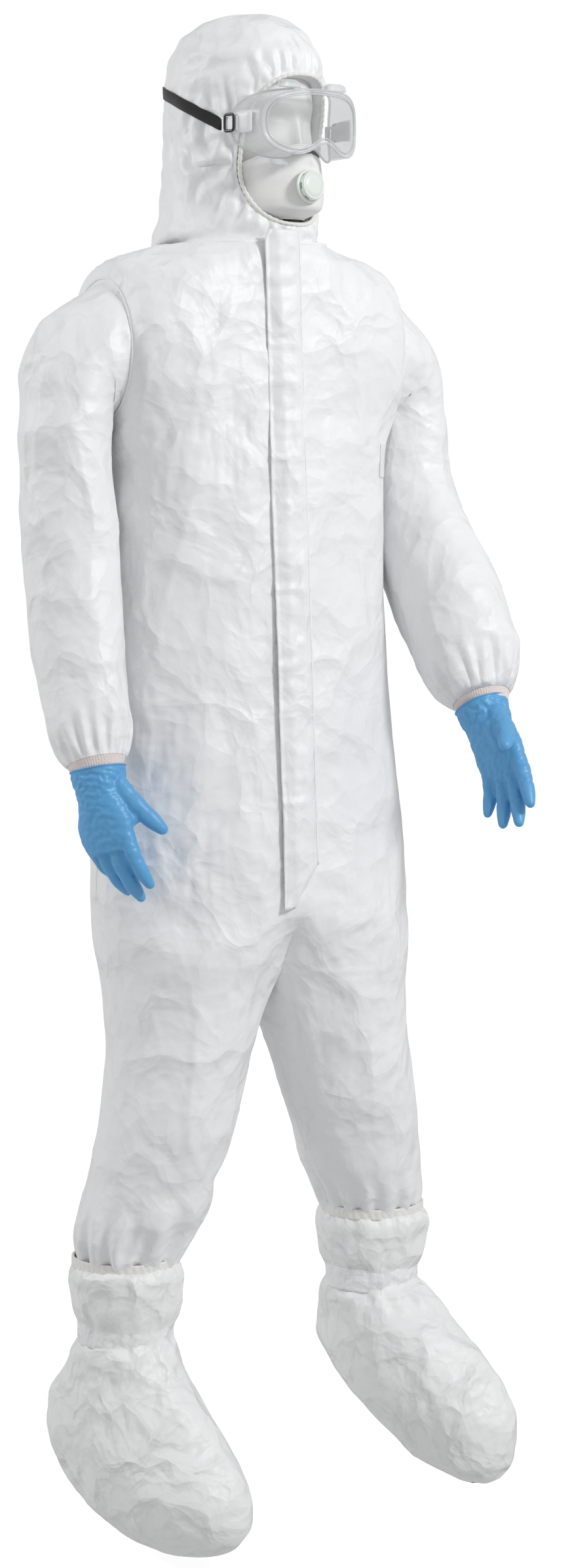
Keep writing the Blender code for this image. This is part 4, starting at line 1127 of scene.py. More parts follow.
# ---------------------------------------- gathered bands: elastics, ties and cuffs
def band(name, place, heights, sides, material, thick, ruffle, count, seed):
    """A closed band. place(angle, height) is its mid surface and outward direction, and ruffle is the depth
    of its gathers."""
    angles = circle(sides)
    wander = np.array([noise.noise(Vector((math.cos(a) * 2, math.sin(a) * 2, seed))) for a in angles])
    outer, inner = [], []
    span = heights[-1] - heights[0]
    for k, h in enumerate(heights):
        crown = math.sin(math.pi * (h - heights[0]) / span) * 0.35 + 0.65
        row_out, row_in = [], []
        for a, w in zip(angles, wander):
            spot, out = place(a, h)
            wave = ruffle * crown * (math.sin(count * a + 5 * w + 0.9 * math.sin(seed + k)) * 0.6 + 0.8 * w)
            row_out.append(spot + out * (thick / 2 + wave))
            row_in.append(spot + out * (-thick / 2 + wave))
        outer.append(row_out)
        inner.append(row_in)
    rows = np.array(outer + inner[::-1])
    faces = grid(len(rows), sides, True)
    end = (len(rows) - 1) * sides
    faces += [(end + c, end + (c + 1) % sides, (c + 1) % sides, c) for c in range(sides)]
    return piece(name, rows.reshape(-1, 3), faces, material)


TIE = fabric_material("tie_film", (0.87, 0.88, 0.885), 0.25, 3.0)
GATHER = weave("gathered_elastic", (0.86, 0.85, 0.82), 0.65, 900, 0.00012)
KNIT = weave("knit_cuff_yarn", (0.86, 0.77, 0.74), 0.85, 700, 0.00022)
for side, ankle in BOOTS.items():
    sign = SIGN[side]
    way = np.array((math.sin(BOOT_YAW), -math.cos(BOOT_YAW), 0.0))
    lateral = np.cross(way, (0, 0, 1.0))

    def round_boot(a, h, half):
        side_part, front_part = lateral * math.cos(a), way * math.sin(a)
        spot = ankle + np.array((0, 0, h)) + side_part * half[0] + front_part * half[1]
        return spot, side_part + front_part

    made = band("overboot_elastic_ring_" + side, lambda a, h: round_boot(a, h, (0.0676, 0.0696)),
                np.linspace(0.112, 0.1265, 7), 220, GATHER, 0.0030, 0.0011, 46, 3.0 + sign)
    belongs(made, "torso", "trim_elastic", "overboot_elastic_" + side)
    made = band("overboot_tie_band_" + side, lambda a, h: round_boot(a, h, (0.0612, 0.0632)),
                np.linspace(0.010, 0.042, 12), 200, TIE, 0.0018, 0.0008, 23, 5.0 + sign)
    belongs(made, "torso", "coverall_fabric", "overboot_tie_" + side)
    hem = np.array((sign * 0.185, -0.002, leg_lift(side, 0.30)))

    def round_hem(a, h):
        radius = np.interp(h, (0.277, 0.290, 0.2994), (0.047, 0.048, 0.0535))
        out = np.array((math.cos(a), math.sin(a), 0.0))
        return hem + np.array((0, 0, h)) + out * radius, out

    made = band("ankle_elastic_ring_" + side, round_hem, np.linspace(0.277, 0.3025, 9), 180, GATHER,
                0.0022, 0.0010, 38, 7.0 + sign)
    belongs(made, "torso", "trim_elastic", "ankle_elastic_" + side)
for side, (path, widths) in ARMS.items():
    wrist, before = np.array(path[-1]), np.array(path[-2])
    along_arm = (wrist - before) / np.linalg.norm(wrist - before)
    u = np.array((0, 1.0, 0)) - along_arm * along_arm[1]
    u /= np.linalg.norm(u)
    v = np.cross(along_arm, u)

    def round_cuff(a, h):
        half_u = np.interp(h, (-0.006, 0.0, 0.006, 0.012, 0.024), (0.0385, 0.0384, 0.0352, 0.0330, 0.0305))
        out = u * math.cos(a) + v * math.sin(a)
        return wrist + along_arm * h + u * math.cos(a) * half_u + v * math.sin(a) * (half_u - 0.0018), out

    made = band("knit_cuff_" + side, round_cuff, np.linspace(-0.006, 0.024, 16), 260, KNIT,
                0.0018, 0.0007, 64, 9.0 + SIGN[side])
    belongs(made, "arm_" + side, "trim_elastic", "cuff_" + side)

# ---------------------------------------- gloves
# Finger rows: knuckle (across, along, palm), way it leaves the palm, length, radius.
FINGERS = [
    ((-0.030, 0.082, 0.000), (-0.10, 1.0, 0.06), 0.076, 0.0104),
    ((-0.010, 0.088, 0.000), (-0.02, 1.0, 0.08), 0.086, 0.0107),
    ((0.010, 0.086, 0.001), (0.05, 1.0, 0.10), 0.080, 0.0104),
    ((0.028, 0.078, 0.003), (0.12, 1.0, 0.12), 0.064, 0.0094),
]
THUMB = ((-0.031, 0.028, 0.008), (-0.60, 1.0, 0.30), 0.072, 0.0124)
HANDS = {
    "right": (np.array((-0.2614, -0.0895, 0.9730)), (0.05, -0.24, -0.97), (0.42, -0.90, 0.0)),
    "left": (np.array((0.2490, -0.1890, 1.0450)), (0.10, -0.48, -0.87), (0.15, -0.88, 0.38)),
}
# Degrees of bend towards the palm over each finger, from the index finger to the little one, then the thumb.
CURLS = {"right": (26, 32, 40, 46, 12), "left": (12, 16, 20, 22, 26)}
# Pads of the palm, each two ends and the radius there: the thumb's web, the ball of the thumb and the
# outer edge.
PADS = [
    ([(-0.022, 0.044, 0.008), (-0.036, 0.062, 0.010)], [0.014, 0.009]),
    ([(-0.020, 0.032, 0.012), (-0.024, 0.058, 0.015)], [0.015, 0.011]),
    ([(0.020, 0.036, 0.008), (0.022, 0.070, 0.008)], [0.012, 0.010]),
]
NITRILE = surface("glove_nitrile_blue", (0.115, 0.400, 0.740), 0.40, 420, 0.00010, spread=0.12)
PALM_COLS = 28
VOXEL = 0.0018
GLOVE_TOP = -0.009


def hand_frame(side):
    origin, along_hand, thumb = HANDS[side]
    along_hand = np.array(along_hand) / np.linalg.norm(along_hand)
    across_hand = -np.array(thumb)
    across_hand -= along_hand * across_hand.dot(along_hand)
    across_hand /= np.linalg.norm(across_hand)
    palm = np.cross(along_hand, across_hand) * (1 if side == "right" else -1)
    return origin, across_hand, along_hand, palm


def limb_mesh(points, radii, verts, faces, sides=14):
    """Adds a closed round limb with domed ends."""
    points, radii = np.array(points, float), np.array(radii, float)
    ways = np.gradient(points, axis=0)
    ways /= np.linalg.norm(ways, axis=1, keepdims=True)
    dome = (0.97, 0.75, 0.4)

    def dome_ring(end, k, sign):
        """A ring of the dome past one end, k being how far out it is as a share of the radius."""
        return points[end] + sign * (ways[end] * radii[end] * k), ways[end], radii[end] * math.sqrt(1 - k * k)

    stations = [dome_ring(0, k, -1) for k in dome]
    stations += list(zip(points, ways, radii))
    stations += [dome_ring(-1, k, 1) for k in dome[::-1]]
    base = len(verts)
    side_way = np.array((0.31, 0.52, 0.79))
    t = circle(sides)
    for spot, way, radius in stations:
        u = np.cross(way, side_way)
        u /= np.linalg.norm(u)
        v = np.cross(way, u)
        verts += list(spot + np.outer(np.cos(t) * radius, u) + np.outer(np.sin(t) * radius, v))
    faces += grid(len(stations), sides, True, base)
    faces += end_caps(len(stations), sides, base)


def remesh(obj, voxel):
    mod = obj.modifiers.new("remesh", "REMESH")
    mod.mode = "VOXEL"
    mod.voxel_size = voxel
    keep_result(obj, mod)


def glove(side):
    origin, across_hand, along_hand, palm = hand_frame(side)

    def place(p):
        p = np.asarray(p, float)
        return origin + p[..., :1] * across_hand + p[..., 1:2] * along_hand + p[..., 2:3] * palm

    verts, faces = [], []
    # Levels of the palm: along the hand, half width, half depth, sideways and palm offsets.
    rows = resample(np.array([
        (-0.016, 0.0358, 0.0345, 0, 0), (-0.004, 0.0345, 0.0330, 0, 0), (0.010, 0.0328, 0.0310, 0, 0),
        (0.024, 0.0315, 0.0280, 0, 0), (0.042, 0.0360, 0.0245, -0.001, 0), (0.062, 0.0425, 0.0195, 0, -0.001),
        (0.082, 0.0405, 0.0165, 0, -0.001), (0.100, 0.0320, 0.0115, 0, -0.001),
    ]), 20)
    t = circle(PALM_COLS)
    for s, a, b, dx, dp in rows:
        x, p = superellipse(t, a, b, 0.88)
        verts += list(place(np.stack([x + dx, np.full_like(x, s), p + dp], axis=1)))
    faces += grid(len(rows), PALM_COLS, True)
    faces += end_caps(len(rows), PALM_COLS)
    for (start, way, length, radius), curl in zip(FINGERS + [THUMB], CURLS[side]):
        way = np.array(way) / np.linalg.norm(way)
        line = [np.array(start) - way * 0.016]
        steps = 16
        bend = 0.0
        for k in range(steps):
            share = (k + 0.5) / steps
            joint = math.exp(-((share - 0.42) / 0.13) ** 2) + 0.7 * math.exp(-((share - 0.76) / 0.10) ** 2)
            bend += math.radians(curl) * joint / 5.4
            flex = np.array((0.0, 0.0, 1.0))
            flex -= way * flex.dot(way)
            flex /= np.linalg.norm(flex)
            line.append(line[-1] + (way * math.cos(bend) + flex * math.sin(bend)) * (length + 0.010) / steps)
        line = np.array(line)
        far = np.linspace(0, 1, len(line))
        knuckle = 1 + 0.07 * np.exp(-((far - 0.45) / 0.08) ** 2) + 0.04 * np.exp(-((far - 0.76) / 0.06) ** 2)
        radii = radius * np.interp(far, (0, 0.5, 0.85, 1.0), (1.16, 1.0, 0.90, 0.66)) * knuckle
        limb_mesh(place(line), radii, verts, faces)
    for heel_pad, sizes in PADS:
        limb_mesh(place(heel_pad), sizes, verts, faces)
    made = piece("glove_skin_" + side, verts, faces, NITRILE)
    remesh(made, VOXEL)
    relax(made, np.zeros(len(made.data.vertices)), 11)
    spot = coords(made) - SHIFT - origin
    x, s, p = spot @ across_hand, spot @ along_hand, spot @ palm
    wristy = 1 - smoothstep(s, 0.030, 0.058)
    knuckly = np.exp(-((s - 0.112) / 0.012) ** 2) + np.exp(-((s - 0.080) / 0.012) ** 2) * 0.8
    patchy = field(spot, 26, 71.0) * 0.5 + 0.5
    excess_long = 0.010 + 0.075 * wristy * patchy + 0.040 * knuckly
    excess_long = excess_long + 0.035 * patchy * smoothstep(s, 0.10, 0.13)
    excess_round = 0.012 + 0.040 * (1 - smoothstep(s, 0.0, 0.03)) + 0.020 * patchy
    free = smoothstep(s, GLOVE_TOP + 0.001, GLOVE_TOP + 0.007)
    drape(made, np.tile(along_hand, (len(s), 1)), excess_long, excess_round, free, rounds=110, out=0.0030,
          into=0.0016, seed=73.0 + SIGN[side], kick=0.0007, kick_scale=55)
    work = bmesh.new()
    work.from_mesh(made.data)
    at = Vector(origin + along_hand * GLOVE_TOP + SHIFT)
    bmesh.ops.bisect_plane(work, geom=work.verts[:] + work.edges[:] + work.faces[:], plane_co=at,
                           plane_no=Vector(along_hand), clear_inner=True)
    work.to_mesh(made.data)
    work.free()
    made.data.shade_smooth()
    top = origin + along_hand * GLOVE_TOP
    rim = coords(made)[boundary(made)] - SHIFT - top
    turn_at = np.arctan2(rim @ palm, rim @ across_hand)
    rim = top + rim[np.argsort(turn_at)]
    rim = even_loop(rim, 90, 3)
    bead = ribbon("glove_bead_" + side, rim, rim - top, round_profile(0.0013, 0.0013, 10), NITRILE, True)
    belongs(bead, "arm_" + side, "glove_nitrile")
    thicken(made, 0.0004)
    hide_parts("glove_" + side)
    blend_over(made)


for side in ("right", "left"):
    glove(side)

# ---------------------------------------- head, mask, valve and goggles, facing -Y
HEAD = np.array([
    (1.677, 0.030, 0.030, 0.020), (1.684, 0.046, 0.060, 0.010), (1.705, 0.056, 0.078, 0.004),
    (1.735, 0.064, 0.088, 0.002), (1.770, 0.070, 0.093, 0.002), (1.810, 0.075, 0.097, 0.004),
    (1.850, 0.076, 0.098, 0.006), (1.885, 0.072, 0.092, 0.006), (1.915, 0.058, 0.075, 0.006),
    (1.932, 0.038, 0.050, 0.006), (1.939, 0.016, 0.020, 0.006), (1.9405, 0.001, 0.001, 0.006),
])


def head_piece(name, points, faces, material, body="head"):
    """A piece laid out facing straight ahead, turned to the way the head faces."""
    made = piece(name, turn(np.asarray(points, float), HEAD_YAW), faces, material)
    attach(made, body)
    return made


def head_ribbon(name, line, up, profile, material, closed=False):
    """A ribbon laid out facing straight ahead, turned to the way the head faces."""
    return ribbon(name, turn(line, HEAD_YAW), turn(up, HEAD_YAW), profile, material, closed)


def bump_at(value, middle, width):
    return np.exp(-((value - middle) / width) ** 2)


FORM = surface("display_form_skin", (0.83, 0.83, 0.82), 0.42, 160, 0.00012)
levels = resample(HEAD, 130)
levels = smooth_rows(levels, 6)
t = circle(150) - math.pi / 2
head_points = np.array([
    np.stack([a * np.cos(t), cy + b * np.sin(t), np.full_like(t, z)], axis=1) for z, a, b, cy in levels
])
points = head_points.reshape(-1, 3)
x, y, z = points.T
side_x = np.abs(x)
facing = smoothstep(-y, 0.02, 0.06)
ahead = 0.0040 * bump_at(z, 1.828, 0.009) * bump_at(side_x, 0.027, 0.022)
ahead -= 0.0105 * bump_at(side_x, 0.032, 0.017) * bump_at(z, 1.808, 0.013)
ahead += 0.0085 * bump_at(side_x, 0.032, 0.0125) * bump_at(z, 1.806, 0.0085)
lid = 1.8135 - 14 * (side_x - 0.032) ** 2
lash = 1.8010 + 9 * (side_x - 0.032) ** 2
across_eye = bump_at(side_x, 0.032, 0.014)
ahead -= 0.0013 * bump_at(z, lid, 0.0011) * across_eye
ahead -= 0.0011 * bump_at(z, lash, 0.0009) * across_eye
bridge = np.interp(z, (1.742, 1.750, 1.762, 1.790, 1.815, 1.835), (0.0, 0.010, 0.0150, 0.0085, 0.0030, 0.0))
wide = np.interp(z, (1.745, 1.758, 1.780, 1.820), (0.0120, 0.0115, 0.0065, 0.0080))
ahead += bridge * np.exp(-(side_x / wide) ** 2)
ahead += 0.0030 * bump_at(side_x, 0.044, 0.016) * bump_at(z, 1.778, 0.016)
points = points + np.stack([0 * x, -ahead * facing, 0 * x], axis=1)
faces = grid(len(levels), len(t), True) + end_caps(len(levels), len(t))
made = head_piece("mannequin_skin", points, faces, FORM)
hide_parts("mannequin_head")

# The mask: levels of height, half width, reach forward and how far round it goes in degrees.
MASK = np.array([
    (1.6835, 0.047, 0.094, 62), (1.688, 0.053, 0.108, 66), (1.6935, 0.0605, 0.1205, 72),
    (1.698, 0.0630, 0.1240, 75), (1.712, 0.0660, 0.1250, 78), (1.735, 0.0690, 0.1245, 76),
    (1.750, 0.0700, 0.1190, 66), (1.760, 0.0700, 0.1160, 50), (1.769, 0.0700, 0.1135, 30),
    (1.7755, 0.0700, 0.1120, 13),
])
MASK_FIBRE = nonwoven("mask_fibre_white", (0.87, 0.87, 0.865))


def mask_front(x, z, a, b):
    """How far forward, as y, the mask reaches at a place across and up, on an oval of half width a and
    depth b."""
    far_from_valve = smoothstep(np.hypot(x + 0.010, z - 1.722), 0.024, 0.038)
    ridge = np.interp(z, (1.695, 1.738, 1.750, 1.762, 1.7755), (0.0, 0.0015, 0.0065, 0.0050, 0.0010))
    ahead = ridge * np.exp(-np.abs(x) / 0.011) * far_from_valve
    ahead -= 0.0050 * bump_at(np.abs(x), 0.029, 0.011) * bump_at(z, 1.742, 0.018) * far_from_valve
    ahead += 0.0035 * bump_at(np.abs(x), 0.046, 0.010) * bump_at(z, 1.706, 0.012)
    return -b * np.sqrt(np.clip(1 - (x / a) ** 2, 0, 1)) - ahead


levels = resample(MASK, 84)[::-1]
columns = np.linspace(-1, 1, 121)
rows = []
for z, a, b, wide in levels:
    x = a * np.sin(np.radians(wide) * columns)
    up = np.full_like(x, z)
    rows.append(np.stack([x, mask_front(x, up, a, b), up], axis=1))
points = np.array(rows)
x, z = points[..., 0], points[..., 2]
edge = np.abs(columns)[None, :]
welds = 0.0007 * np.exp(-((edge - 0.93) / 0.010) ** 2) + 0.0006 * bump_at(z, 1.7005, 0.0006)
for k in range(6):
    welds -= 0.0005 * bump_at(x, -0.020 + 0.004 * k, 0.0010) * bump_at(z, 1.7040, 0.0008)
points[..., 1] += welds
faces = grid(len(levels), len(columns), False)
made = head_piece("mask_shell", points.reshape(-1, 3), faces, MASK_FIBRE, "mask")
normals = vertex_normals(made)
if normals[:, 1].mean() > 0:
    made.data.flip_normals()
thicken(made, 0.0012)
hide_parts("mask_body", "mask_chin_panel")
outline = np.concatenate([points[:, 0], points[-1, 1:-1], points[::-1, -1], points[0, 1:-1][::-1]])
outline = even_loop(outline, 260, 2)
made = head_ribbon("mask_edge", outline, outline * (1, 1, 0), round_profile(0.0012, 0.0009, 8), MASK_FIBRE,
                   True)
belongs(made, "mask", "mask_fibre")

WIRE = surface("nose_wire_grey", (0.16, 0.165, 0.17), 0.40, 220, 0.00006, metal=0.6)
line = []
for x in np.linspace(-0.024, 0.024, 40):
    z = 1.7675 - 0.16 * abs(x)
    deep = np.interp(z, MASK[:, 0], MASK[:, 2])
    line.append((x, float(mask_front(np.array(x), np.array(z), 0.070, deep)) - 0.0006, z))
made = head_ribbon("nose_wire", smooth_line(line, 6), (0.0, -1.0, 0.3),
                   [(-0.0026, 0.0), (-0.0023, 0.0006), (0.0023, 0.0006), (0.0026, 0.0)], WIRE)
belongs(made, "mask", "nose_wire", "mask_nose_clip")

VALVE_Z, VALVE_X, VALVE_Y = 1.722, -0.010, -0.1256
VALVE_TILT = math.radians(6)


def valve_point(x, out, up):
    """A place in front of the mask: across, out along the valve's axis, and up its face."""
    y = VALVE_Y - out * math.cos(VALVE_TILT) + up * math.sin(VALVE_TILT)
    z = VALVE_Z + out * math.sin(VALVE_TILT) + up * math.cos(VALVE_TILT)
    return np.array((VALVE_X + x, y, z))


def valve_lathe(name, profile, material, closed_middle, openings=()):
    sides = 96
    verts = [valve_point(r * math.cos(a), out, r * math.sin(a)) for r, out in profile
             for a in circle(sides)]
    faces = []
    for f in grid(len(profile), sides, True):
        angle = (f[0] % sides) / sides * 360
        level = f[0] // sides
        if not any(level == row and abs((angle - middle + 180) % 360 - 180) < half
                   for row, middle, half in openings):
            faces.append(f)
    if closed_middle:
        faces.append(tuple((len(profile) - 1) * sides + k for k in range(sides)))
    return head_piece(name, verts, faces, material, "mask")


VALVE_SHELL = surface("valve_plastic_pale", (0.78, 0.84, 0.79), 0.38, 300, 0.00005)
# The valve's parts turn these sections about its axis: radius, and how far out from the mask.
seat = [(0.0110, 0.0028), (0.0110, 0.0002), (0.0207, 0.0000), (0.0214, 0.0004), (0.0216, 0.0012),
        (0.0213, 0.0023), (0.0206, 0.0028), (0.0110, 0.0028)]
made = valve_lathe("valve_flange", seat, VALVE_SHELL, False)
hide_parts("valve_seat")
cap = [(0.0187, 0.0030), (0.0188, 0.0042), (0.0188, 0.0066), (0.0187, 0.0086), (0.0184, 0.0096),
       (0.0177, 0.0103), (0.0168, 0.0106), (0.0160, 0.0106), (0.0157, 0.0103), (0.0152, 0.0103),
       (0.0149, 0.0107), (0.0090, 0.0111), (0.0030, 0.0113)]
slots = [(1, middle, 13) for middle in (0, 180, 55, 125, 235, 305)]
made = valve_lathe("valve_cap", cap, VALVE_SHELL, True, slots)
thicken(made, 0.0009)
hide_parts("valve_cover")

GOGGLE_Z = 1.800
RIM_COUNT = 120


def goggle_ring(scale_x, scale_z, y, curve, inset=0.0):
    """The goggles' outline: a wide rounded shape with a notch over the nose, bowed round the face."""
    t = circle(RIM_COUNT)
    c = np.sign(np.cos(t)) * np.abs(np.cos(t)) ** 0.62
    s = np.sign(np.sin(t)) * np.abs(np.sin(t)) ** 0.72
    x = (0.086 * scale_x - inset) * c
    z = (0.045 * scale_z - inset) * s
    z = z + np.where(s < 0, 0.019 * np.exp(-((x / 0.024) ** 2)) * -s, 0)
    line = np.stack([x, y + curve * x * x, GOGGLE_Z + z], axis=1)
    return even_loop(line, RIM_COUNT, 2)


SKIRT = clear("goggle_skirt_clear", (0.84, 0.86, 0.87), 0.36, 0.16)
RIM_CLEAR = clear("goggle_rim_clear", (0.74, 0.77, 0.79), 0.52, 0.12)
LENS = clear("goggle_lens_clear", (0.88, 0.90, 0.91), 0.09, 0.04)
# The skirt's rings from the face to the lens: width and height scale, y, bow round the face, and inset.
wall = [(1.012, 1.03, -0.1166, 7.5, 0), (1.0, 1.0, -0.1185, 7.35, 0), (0.990, 0.985, -0.124, 6.8, 0),
        (0.985, 0.98, -0.131, 6.2, 0), (0.980, 0.972, -0.138, 5.5, 0), (0.972, 0.96, -0.1435, 4.9, 0),
        (0.965, 0.95, -0.1460, 4.6, 0), (0.965, 0.95, -0.1472, 4.6, 0.0014),
        (0.965, 0.95, -0.1472, 4.6, 0.0040), (0.965, 0.95, -0.1455, 4.6, 0.0052)]
rows = np.array([goggle_ring(*row) for row in wall])
made = head_piece("goggle_skirt", rows.reshape(-1, 3), grid(len(rows), RIM_COUNT, True), SKIRT, "goggles")
thicken(made, 0.0016)
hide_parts("goggle_frame")
for name, ring in (("goggle_rim_front", goggle_ring(0.965, 0.95, -0.1468, 4.6, 0.0006)),
                   ("goggle_rim_lens", goggle_ring(0.965, 0.95, -0.1466, 4.6, 0.0062)),
                   ("goggle_rim_face", goggle_ring(1.006, 1.012, -0.1172, 7.4, 0.0))):
    made = head_ribbon(name, ring, (ring - (0, 0, GOGGLE_Z)) * (1, 0, 1), round_profile(0.0014, 0.0013, 10),
                       RIM_CLEAR, True)
    belongs(made, "goggles", "goggle_clear")
rings = []
for k in np.linspace(1.0, 0.04, 14):
    ring = goggle_ring(0.965, 0.95, -0.1458, 0.0, 0.0048)
    ring[:, 0] *= k
    ring[:, 2] = GOGGLE_Z + 0.004 + (ring[:, 2] - GOGGLE_Z - 0.004) * k
    ring[:, 1] = -0.1458 + 4.6 * ring[:, 0] ** 2
    rings.append(ring)
rows = np.array(rings)
faces = grid(len(rows), RIM_COUNT, True)
faces.append(tuple((len(rows) - 1) * RIM_COUNT + k for k in range(RIM_COUNT)))
made = head_piece("goggle_window", rows.reshape(-1, 3), faces, LENS, "goggles")
thicken(made, 0.0014)
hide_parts("goggle_lens")

# The hood's gathered edge elastic, tight on the cheeks, and the strap that lies on the hood.
hood_tree = tree_of(hood)
t = circle(260)
ex, ez = superellipse(t, FACE_HALF[0] - 0.0022, FACE_HALF[1] - 0.0022, FACE_POWER)
ez = np.where(ez > 0, ez, ez * (FACE_LOW - 0.0022) / (FACE_HALF[1] - 0.0022))
edge_line = np.stack([ex, hood_front(ex, FACE_Z + ez) + 0.0006, FACE_Z + ez], axis=1)
edge_line = even_loop(edge_line, 320, 2)
gathers = 0.0007 * np.sin(np.arange(320) * 2 * math.pi / 320 * 74 + 3 * np.sin(np.arange(320) / 23))
edge_line[:, 1] += gathers
out_edge = edge_line - (0, 0, FACE_Z)
made = head_ribbon("hood_edge_elastic", edge_line, out_edge * (1, 0, 1), round_profile(0.0030, 0.0028, 12),
                   GATHER, True)
belongs(made, "head", "trim_elastic", "hood_elastic")

# Inner collar of cloth from the hood's edge back to the cheeks.
inner = []
for k, share in enumerate(np.linspace(0, 1, 8)):
    ring = edge_line.copy()
    ring[:, 0] = edge_line[:, 0] * (1 - 0.03 * share)
    ring[:, 2] = FACE_Z + (edge_line[:, 2] - FACE_Z) * (1 - 0.03 * share)
    half = np.interp(ring[:, 2], HEAD[:, 0], HEAD[:, 1])
    deep = np.interp(ring[:, 2], HEAD[:, 0], HEAD[:, 2])
    middle = np.interp(ring[:, 2], HEAD[:, 0], HEAD[:, 3])
    skin = middle - deep * np.sqrt(np.clip(1 - (ring[:, 0] / np.maximum(half, 0.05)) ** 2, 0.02, 1))
    ring[:, 1] = edge_line[:, 1] * (1 - share) + np.maximum(skin, edge_line[:, 1]) * share
    inner.append(ring)
rows = np.array(inner)
made = head_piece("hood_lining", rows.reshape(-1, 3), grid(len(rows), 320, True), FABRIC)
thicken(made, 0.0008)

STRAP = weave("strap_webbing", (0.004, 0.004, 0.005), 0.85, 1000, 0.00016, 0.3)
STRAP_RISE, STRAP_HALF, STRAP_END = 0.060, 0.0078, 2.14
line, outward = [], []
for t in np.linspace(-STRAP_END, STRAP_END, 96):
    share = math.cos(t / STRAP_END * math.pi / 2)
    z = GOGGLE_Z + STRAP_RISE * share
    a, front, back = np.array(hood_at(z)) + np.array((0.0030, -0.0030, 0.0030))
    spot = np.array((math.sin(t) * a, (front + back) / 2 + math.cos(t) * (back - front) / 2, z))
    out = np.array((math.sin(t), math.cos(t), 0.0))
    centre = turn(np.array((0, (front + back) / 2, z)), HEAD_YAW) + SHIFT
    way = turn(out, HEAD_YAW)
    hit = hood_tree.ray_cast(Vector(centre), Vector(way))
    reach = float(np.linalg.norm(spot - np.array((0, (front + back) / 2, z))))
    if hit[0] is not None:
        reach = max(reach - 0.003, (hit[0] - Vector(centre)).length + 0.0012)
    line.append(np.array(centre) - SHIFT + way * reach)
    outward.append(way)
line = np.array(line)
line = smooth_line(line, 10)
strap_edge = STRAP_HALF - 0.0004
strap_profile = [(-STRAP_HALF, 0.0), (-strap_edge, 0.0013), (0, 0.0015), (strap_edge, 0.0013),
                 (STRAP_HALF, 0.0), (strap_edge, -0.0003), (0, -0.0003), (-strap_edge, -0.0003)]
made = ribbon("strap_web", line, np.array(outward), strap_profile, STRAP)
belongs(made, "goggles", "strap_black", "goggle_strap")
BAND = weave("mask_band_elastic", (0.80, 0.80, 0.78), 0.7, 1500, 0.00012)
DIAPHRAGM = surface("valve_rubber_grey", (0.55, 0.56, 0.52), 0.55, 300, 0.00006)
STEEL = surface("socket_steel_brushed", (0.45, 0.46, 0.47), 0.35, 180, 0.00005, metal=1.0)
CLIP = surface("clip_plastic_white", (0.84, 0.85, 0.86), 0.30, 260, 0.00004)
VENT = clear("vent_clear", (0.78, 0.81, 0.82), 0.55, 0.15)
BUCKLE = surface("buckle_black", (0.010, 0.010, 0.011), 0.25, 300, 0.00003)
SUPPORT = surface("display_form_plastic", (0.80, 0.80, 0.79), 0.40, 160, 0.00010)
PLAIN = {
    "mask_band_lower": BAND, "mask_band_upper": BAND, "valve_diaphragm": DIAPHRAGM,
    "support_socket": STEEL, "goggle_clip_left": CLIP, "goggle_clip_right": CLIP, "goggle_vent_left": VENT,
    "goggle_vent_right": VENT, "goggle_vent_bottom": VENT, "zip_slider": ZIP_PLASTIC,
    "zip_pull": ZIP_PLASTIC, "zip_bottom_stop": ZIP_PLASTIC, "zip_tape_left": TAPE, "zip_tape_right": TAPE,
    "torso_form": SUPPORT, "arm_form_left": SUPPORT, "arm_form_right": SUPPORT, "leg_form_left": SUPPORT,
    "leg_form_right": SUPPORT, "neck_post": SUPPORT,
}
for name, material in PLAIN.items():
    shown = nodes[name]
    shown.data.materials.clear()
    shown.data.materials.append(material)
for name in ("goggle_clip_left", "goggle_clip_right", "goggle_vent_left", "goggle_vent_right", "zip_slider",
             "zip_pull"):
    bevel = nodes[name].modifiers.new("rounded", "BEVEL")
    bevel.width = 0.0006
    bevel.segments = 3
    bevel.limit_method = "ANGLE"

# The strap's lugs and buckles: outlines as (back, up) from the goggles' side.
LUG_SIDES = 60
LUG = [(-0.026, -0.013), (0.004, -0.0115), (0.009, -0.006), (0.009, 0.007), (0.004, 0.013), (-0.026, 0.015)]
LUG_LAYERS = [(0.92, -0.0014), (1.0, -0.0006), (1.0, 0.0006), (0.93, 0.0013), (0.5, 0.0016), (0.05, 0.0016)]
BUCKLE_CORNERS = [(-0.0085, -0.0105), (0.0085, -0.0105), (0.0085, 0.0105), (-0.0085, 0.0105)]
for label, sign in SIGN.items():
    loop = np.array([(sign * (0.0900 + 0.10 * a), -0.0760 + a, GOGGLE_Z + b) for a, b in LUG])
    loop = even_loop(loop, LUG_SIDES, 6)
    middle = loop.mean(axis=0)
    rows = []
    for share, out in LUG_LAYERS:
        rows.append(middle + (loop - middle) * share + np.array((sign * out, 0, 0)))
    faces = grid(len(rows), LUG_SIDES, True) + end_caps(len(rows), LUG_SIDES)
    made = head_piece("strap_lug_" + label, np.array(rows).reshape(-1, 3), faces, CLIP, "goggles")
    loop = np.array([(sign * 0.0955, -0.0680 + a, GOGGLE_Z + 0.001 + b) for a, b in BUCKLE_CORNERS])
    loop = even_loop(loop, 64, 10)
    made = head_ribbon("strap_buckle_" + label, loop, (sign, 0.0, 0.0), round_profile(0.0019, 0.0012, 10),
                       BUCKLE, True)
    belongs(made, "goggles", "strap_black")

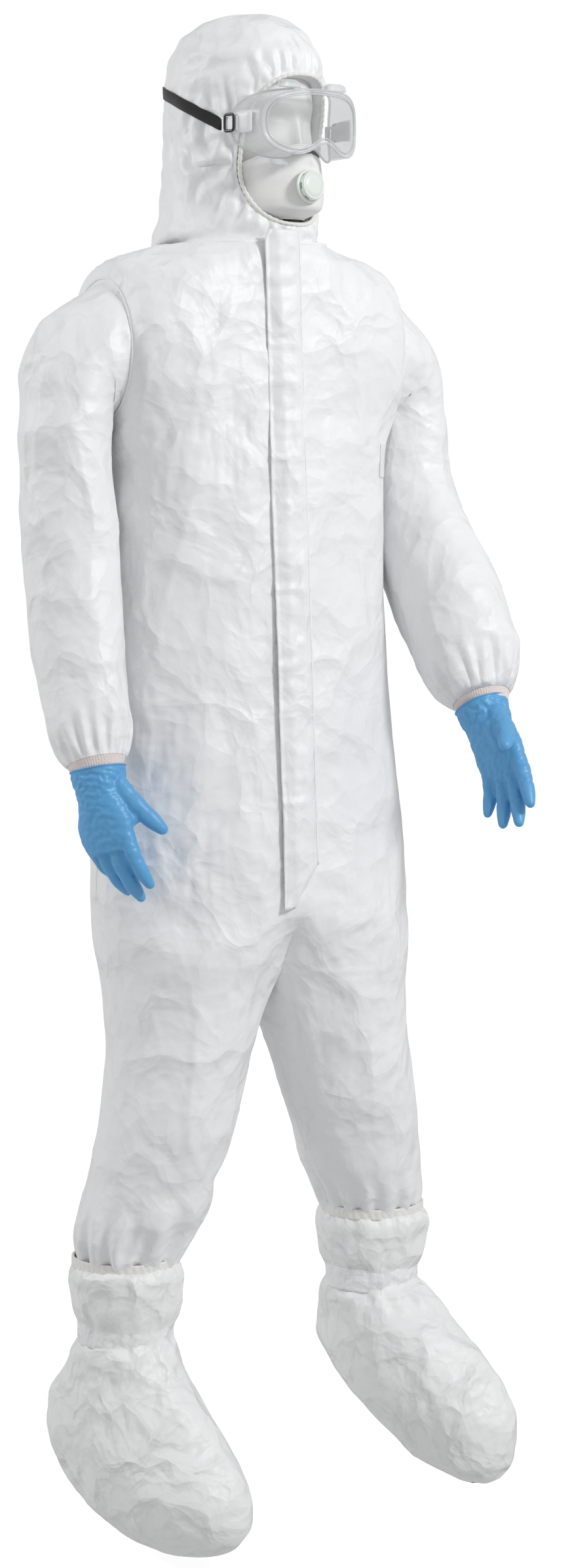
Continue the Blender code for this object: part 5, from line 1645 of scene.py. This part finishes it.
# ---------------------------------------- camera, floor and light
CAMERA_PLACE = (-2.020, -4.086, 0.417)
CAMERA_WAY = (0.469, 0.883)
CAMERA_DOWN = math.radians(5.5)
CAMERA_LENS = 76.1
camera_data = bpy.data.cameras.new("camera")
camera = bpy.data.objects.new("camera", camera_data)
scene.collection.objects.link(camera)
camera.location = CAMERA_PLACE
look = Vector((*CAMERA_WAY, -math.tan(CAMERA_DOWN) * math.hypot(*CAMERA_WAY)))
camera.rotation_euler = look.to_track_quat("-Z", "Y").to_euler()
camera_data.lens = CAMERA_LENS
camera_data.sensor_width = 36
camera_data.sensor_fit = "AUTO"
scene.camera = camera

TOE_CLEARANCE = 0.075
FLOOR_Z = SHIFT[2] - TOE_CLEARANCE
paper = new_material("studio_floor", (0.78, 0.78, 0.78), 0.95, Emission_Color=(1, 1, 1, 1),
                     Emission_Strength=0.60)
FAR = 90.0
corners = [(-FAR, -FAR, FLOOR_Z), (FAR, -FAR, FLOOR_Z), (FAR, FAR, FLOOR_Z), (-FAR, FAR, FLOOR_Z)]
floor = piece("studio_floor", corners, [(0, 1, 2, 3)], paper, False, False)
floor.visible_diffuse = False
floor.visible_glossy = False
SKY_LIGHT = 0.54   # how strongly the white surround lights the object
SKY_SEEN = 1.0     # how bright it looks behind the object
world = bpy.data.worlds.new("studio")
world.use_nodes = True
back = world.node_tree.nodes["Background"]
back.inputs["Color"].default_value = (1, 1, 1, 1)
rays = world.node_tree.nodes.new("ShaderNodeLightPath")
level = world.node_tree.nodes.new("ShaderNodeMapRange")
level.inputs["To Min"].default_value = SKY_LIGHT
level.inputs["To Max"].default_value = SKY_SEEN
world.node_tree.links.new(rays.outputs["Is Camera Ray"], level.inputs["Value"])
world.node_tree.links.new(level.outputs["Result"], back.inputs["Strength"])
scene.world = world
scene.view_settings.view_transform = "Standard"


def area_light(name, where, target, size, power):
    data = bpy.data.lights.new(name, "AREA")
    data.shape = "DISK"
    data.size = size
    data.energy = power
    made = bpy.data.objects.new(name, data)
    made.location = where
    made.rotation_euler = (Vector(target) - Vector(where)).to_track_quat("-Z", "Y").to_euler()
    scene.collection.objects.link(made)


area_light("key", (1.6, -3.9, 2.6), (0, -0.15, 0.0), 1.0, 104)
area_light("rim", (-3.0, 1.5, 1.8), (0, -0.15, 0.0), 1.6, 40)
